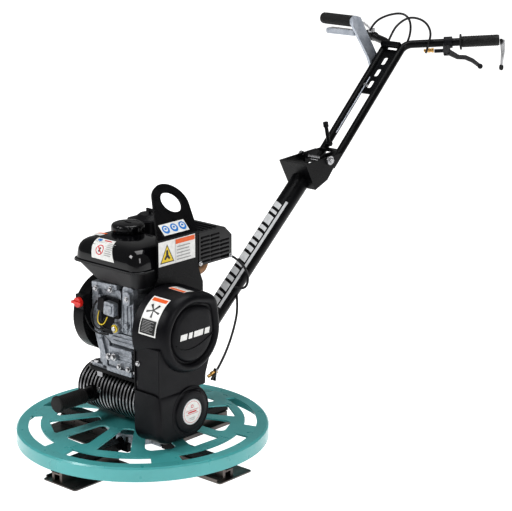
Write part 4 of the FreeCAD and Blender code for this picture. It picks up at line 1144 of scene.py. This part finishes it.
def gearbox_details():
    """Bolts of the deck and the ribbed grip on the carrying handle."""
    corners = [(x, y, 216) for x in (-101, 92) for y in (-52, -26)]
    bolts("gearbox_top_bolts", corners, Z, "chassis", 5, 4, 7.5)
    bolts("carry_bolt", [(-48, -98, 168)], -Y, "chassis", 5, 5, 7.5)
    profile = [(19, 0), (19, 3), (17.9, 4)]
    for n in range(13):
        base = 6 + 5.6 * n
        profile += [(18.4, base), (18.4, base + 3.2), (17.6, base + 4), (17.6, base + 5)]
    profile += [(18, 78), (20.5, 79), (20.5, 83), (18, 85.6), (11, 86.4), (1, 86.4)]
    sleeve = lathe("carry_sleeve", profile, (-70, -130, 156), -Y, 64)
    finished(sleeve, "chassis", "rubber")


# ------------ handle

TUBE_FOOT = Vector((0, 96, 151.5))
TUBE_ALONG = Vector((0, 488, 424)).normalized()
TUBE_OUT = Vector((0, -424, 488)).normalized()
BAR_CORNER = Vector((28, 972, 884))
BAR_END = Vector((240, 1102, 903))
BAR_ALONG = (BAR_END - BAR_CORNER).normalized()


def tube_face(u, v, lift):
    """Surface of the main tube: u round it from its upper side, v along it."""
    angle = u / 25
    reach = 25 + lift
    point = TUBE_FOOT + TUBE_ALONG * v + (TUBE_OUT * math.cos(angle) + X * math.sin(angle)) * reach
    return mm(*point)


def tube_stripes():
    """Silver stripe and a row of slanting bars."""
    start, end = 220, 560
    marks = [rect_mark("silver", 17, start, 24, end)]
    bar = start + 4
    widths = (16, 9, 22, 12, 18, 8, 24, 14, 10, 20, 12, 26, 9, 16)
    for width in widths:
        top = bar + width
        marks.append(poly_mark("silver", (-12, bar + 9), (-12, top + 9), (14, top), (14, bar)))
        bar = top + 8
    label("tube_stripes", tube_face, marks, "chassis")


def ribbed(name, origin, direction, length, body):
    """Rubber grip with fine rings along it and a rounded end."""
    low, high, pitch = 14.4, 15.2, 4.4
    profile = [(low - 1.6, 0), (low, 1)]
    for n in range(int((length - 10) / pitch)):
        base = 3 + pitch * n
        profile += [(low, base), (high, base + 0.8), (high, base + 2), (low, base + 2.8)]
    profile += [(low + 0.6, length - 4), (low - 1, length), (low - 6, length + 1.4), (1, length + 1.4)]
    finished(lathe(name, profile, origin, direction, 48), body, "rubber")


def grips():
    """Both grips, the trigger under the left one, and the sleeve on the left bar."""
    ribbed("right_grip_ribs", BAR_END - BAR_ALONG * 95, BAR_ALONG, 98, "upper_handle")
    ribbed("pitch_grip_ribs", (-50, 850, 952), -X, 104, "pitch_lever")
    outline = rounded([(-147, 911), (-51, 912), (-51, 927.5), (-147, 926)], [6, 2, 2, 6], 5)
    finished(prism("trigger_blade", outline, 854, 870, in_xz), "pitch_trigger", "lever_alloy", bevel=2)
    profile = [(10.6, 0), (12.6, 0), (12.6, 44), (11.5, 45), (10.6, 45)]
    sleeve = lathe("left_bar_sleeve", profile, (-108, 1016.5, 887.3), (-28, 13.5, 0.7), 40)
    finished(sleeve, "upper_handle", "rubber")


def hanging_strap():
    """Thin bright strap that hangs from the end of the right grip, with a dark tip."""
    corners = [(244, 908), (259, 906), (261, 872), (255, 834), (249, 834), (250, 870)]
    strap = prism("grip_strap", rounded(corners, [4, 4, 8, 2, 2, 8], 4), 1104, 1107, in_xz)
    finished(strap, "upper_handle", "steel", bevel=0.6)
    tip = lathe("strap_tip", [(3, 0), (5.5, 2), (6, 8), (5, 13), (2, 15)], (252, 1105.5, 838), -Z, 24)
    finished(tip, "upper_handle", "rubber")


def adjuster(name, origin, direction, body):
    """Knurled barrel and locknut at a cable's end."""
    profile = [(4, 0), (6.4, 0), (6.4, 6), (4.6, 6.4), (4.6, 9), (6, 9.4), (6, 16), (4.2, 17), (4.2, 26),
               (3.2, 27)]
    finished(lathe(name, profile, origin, direction, 24), body, "bronze")


def handle_hardware():
    """Cable adjusters, the hinge bolt's ends, and the pitch rod with its nut."""
    adjuster("upper_adjuster", (84, 1030, 868), -BAR_ALONG, "upper_handle")
    adjuster("lower_adjuster", (108, 146, 190), (-12, -40, -20), "chassis")
    outline = rounded([(102, 166), (112, 166), (117, 198), (106, 198)], 2, 3)
    finished(prism("adjuster_tab", outline, 138, 141, in_xz), "chassis", "steel", bevel=0.6)
    bolts("hinge_nuts", [(50, 641, 623)], X, "chassis", 7, 7, 12)
    bolts("hinge_heads", [(-50, 641, 623)], -X, "chassis", 7, 6, 12)
    along = Vector((0, 139, 130.4)).normalized()
    nut = lathe("rod_nut", [(1.5, 0), (6, 0), (6, 6), (1.5, 6)], (0, 841, 786), along, 6)
    finished(nut, "pitch_rod", "steel")
    rod = lathe("rod_line", [(1.5, 0), (1.8, 0.4), (1.8, 190), (1.5, 190.4)], (0, 724, 676.9), along, 16)
    finished(rod, "pitch_rod", "steel", "lever_alloy", stands_for=("pitch_rod",))


# Name, body, the CAD nodes it stands for, and its route.
CABLES = (
    ("throttle_line", "chassis", ("throttle_cable",),
     ((-66, 108, 428), (-56, 140, 420), (-46, 180, 416), (-30, 222, 424), (-4, 250, 440), (22, 266, 447),
      (40, 284, 436), (46, 312, 410), (46, 330, 380), (42, 330, 352), (34, 318, 344), (22, 306, 350))),
    ("clutch_line", "chassis", ("clutch_cable",),
     ((22, 312, 332), (38, 300, 300), (60, 262, 262), (84, 212, 226), (104, 160, 196), (116, 120, 176))),
    ("upper_throttle_line", "upper_handle", ("upper_cables",),
     ((-112, 1000, 905), (-100, 1003, 930), (-60, 1010, 952), (-10, 1014, 962), (16, 1014, 944),
      (20, 1010, 906), (14, 992, 870), (4, 952, 857))),
    ("upper_clutch_line", "upper_handle", (),
     ((-12, 951, 886), (-10, 962, 906), (0, 974, 934), (30, 990, 958), (70, 1004, 950), (94, 1004, 922),
      (100, 984, 890), (104, 968, 870))),
)
CABLE_RADIUS = 3


def cables():
    for name, body, nodes, points in CABLES:
        finished(curve(name, points, CABLE_RADIUS), body, "cable_jacket", stands_for=nodes)


def handle():
    tube_stripes()
    grips()
    hanging_strap()
    handle_hardware()
    cables()


# ------------ parts taken from the CAD


def dress_nodes():
    """Gives each CAD node its material: the one of its slot, but for a few that look different."""
    chosen = {part["node"]: part["material_slot"] for part in frame["record"]["subparts"]}
    chosen.update(gearbox_housing="finned_housing", fuel_tank_lower="satin_tank", spider="cast_alloy",
                  pressure_plate="cast_alloy")
    for name, obj in NODES.items():
        obj.data.materials.clear()
        obj.data.materials.append(material(chosen.get(name, "black_paint")))


camera()
studio()
dress_nodes()
belt_cover()
fuel_tank()
engine()
bracket_labels()
gearbox_details()
handle()
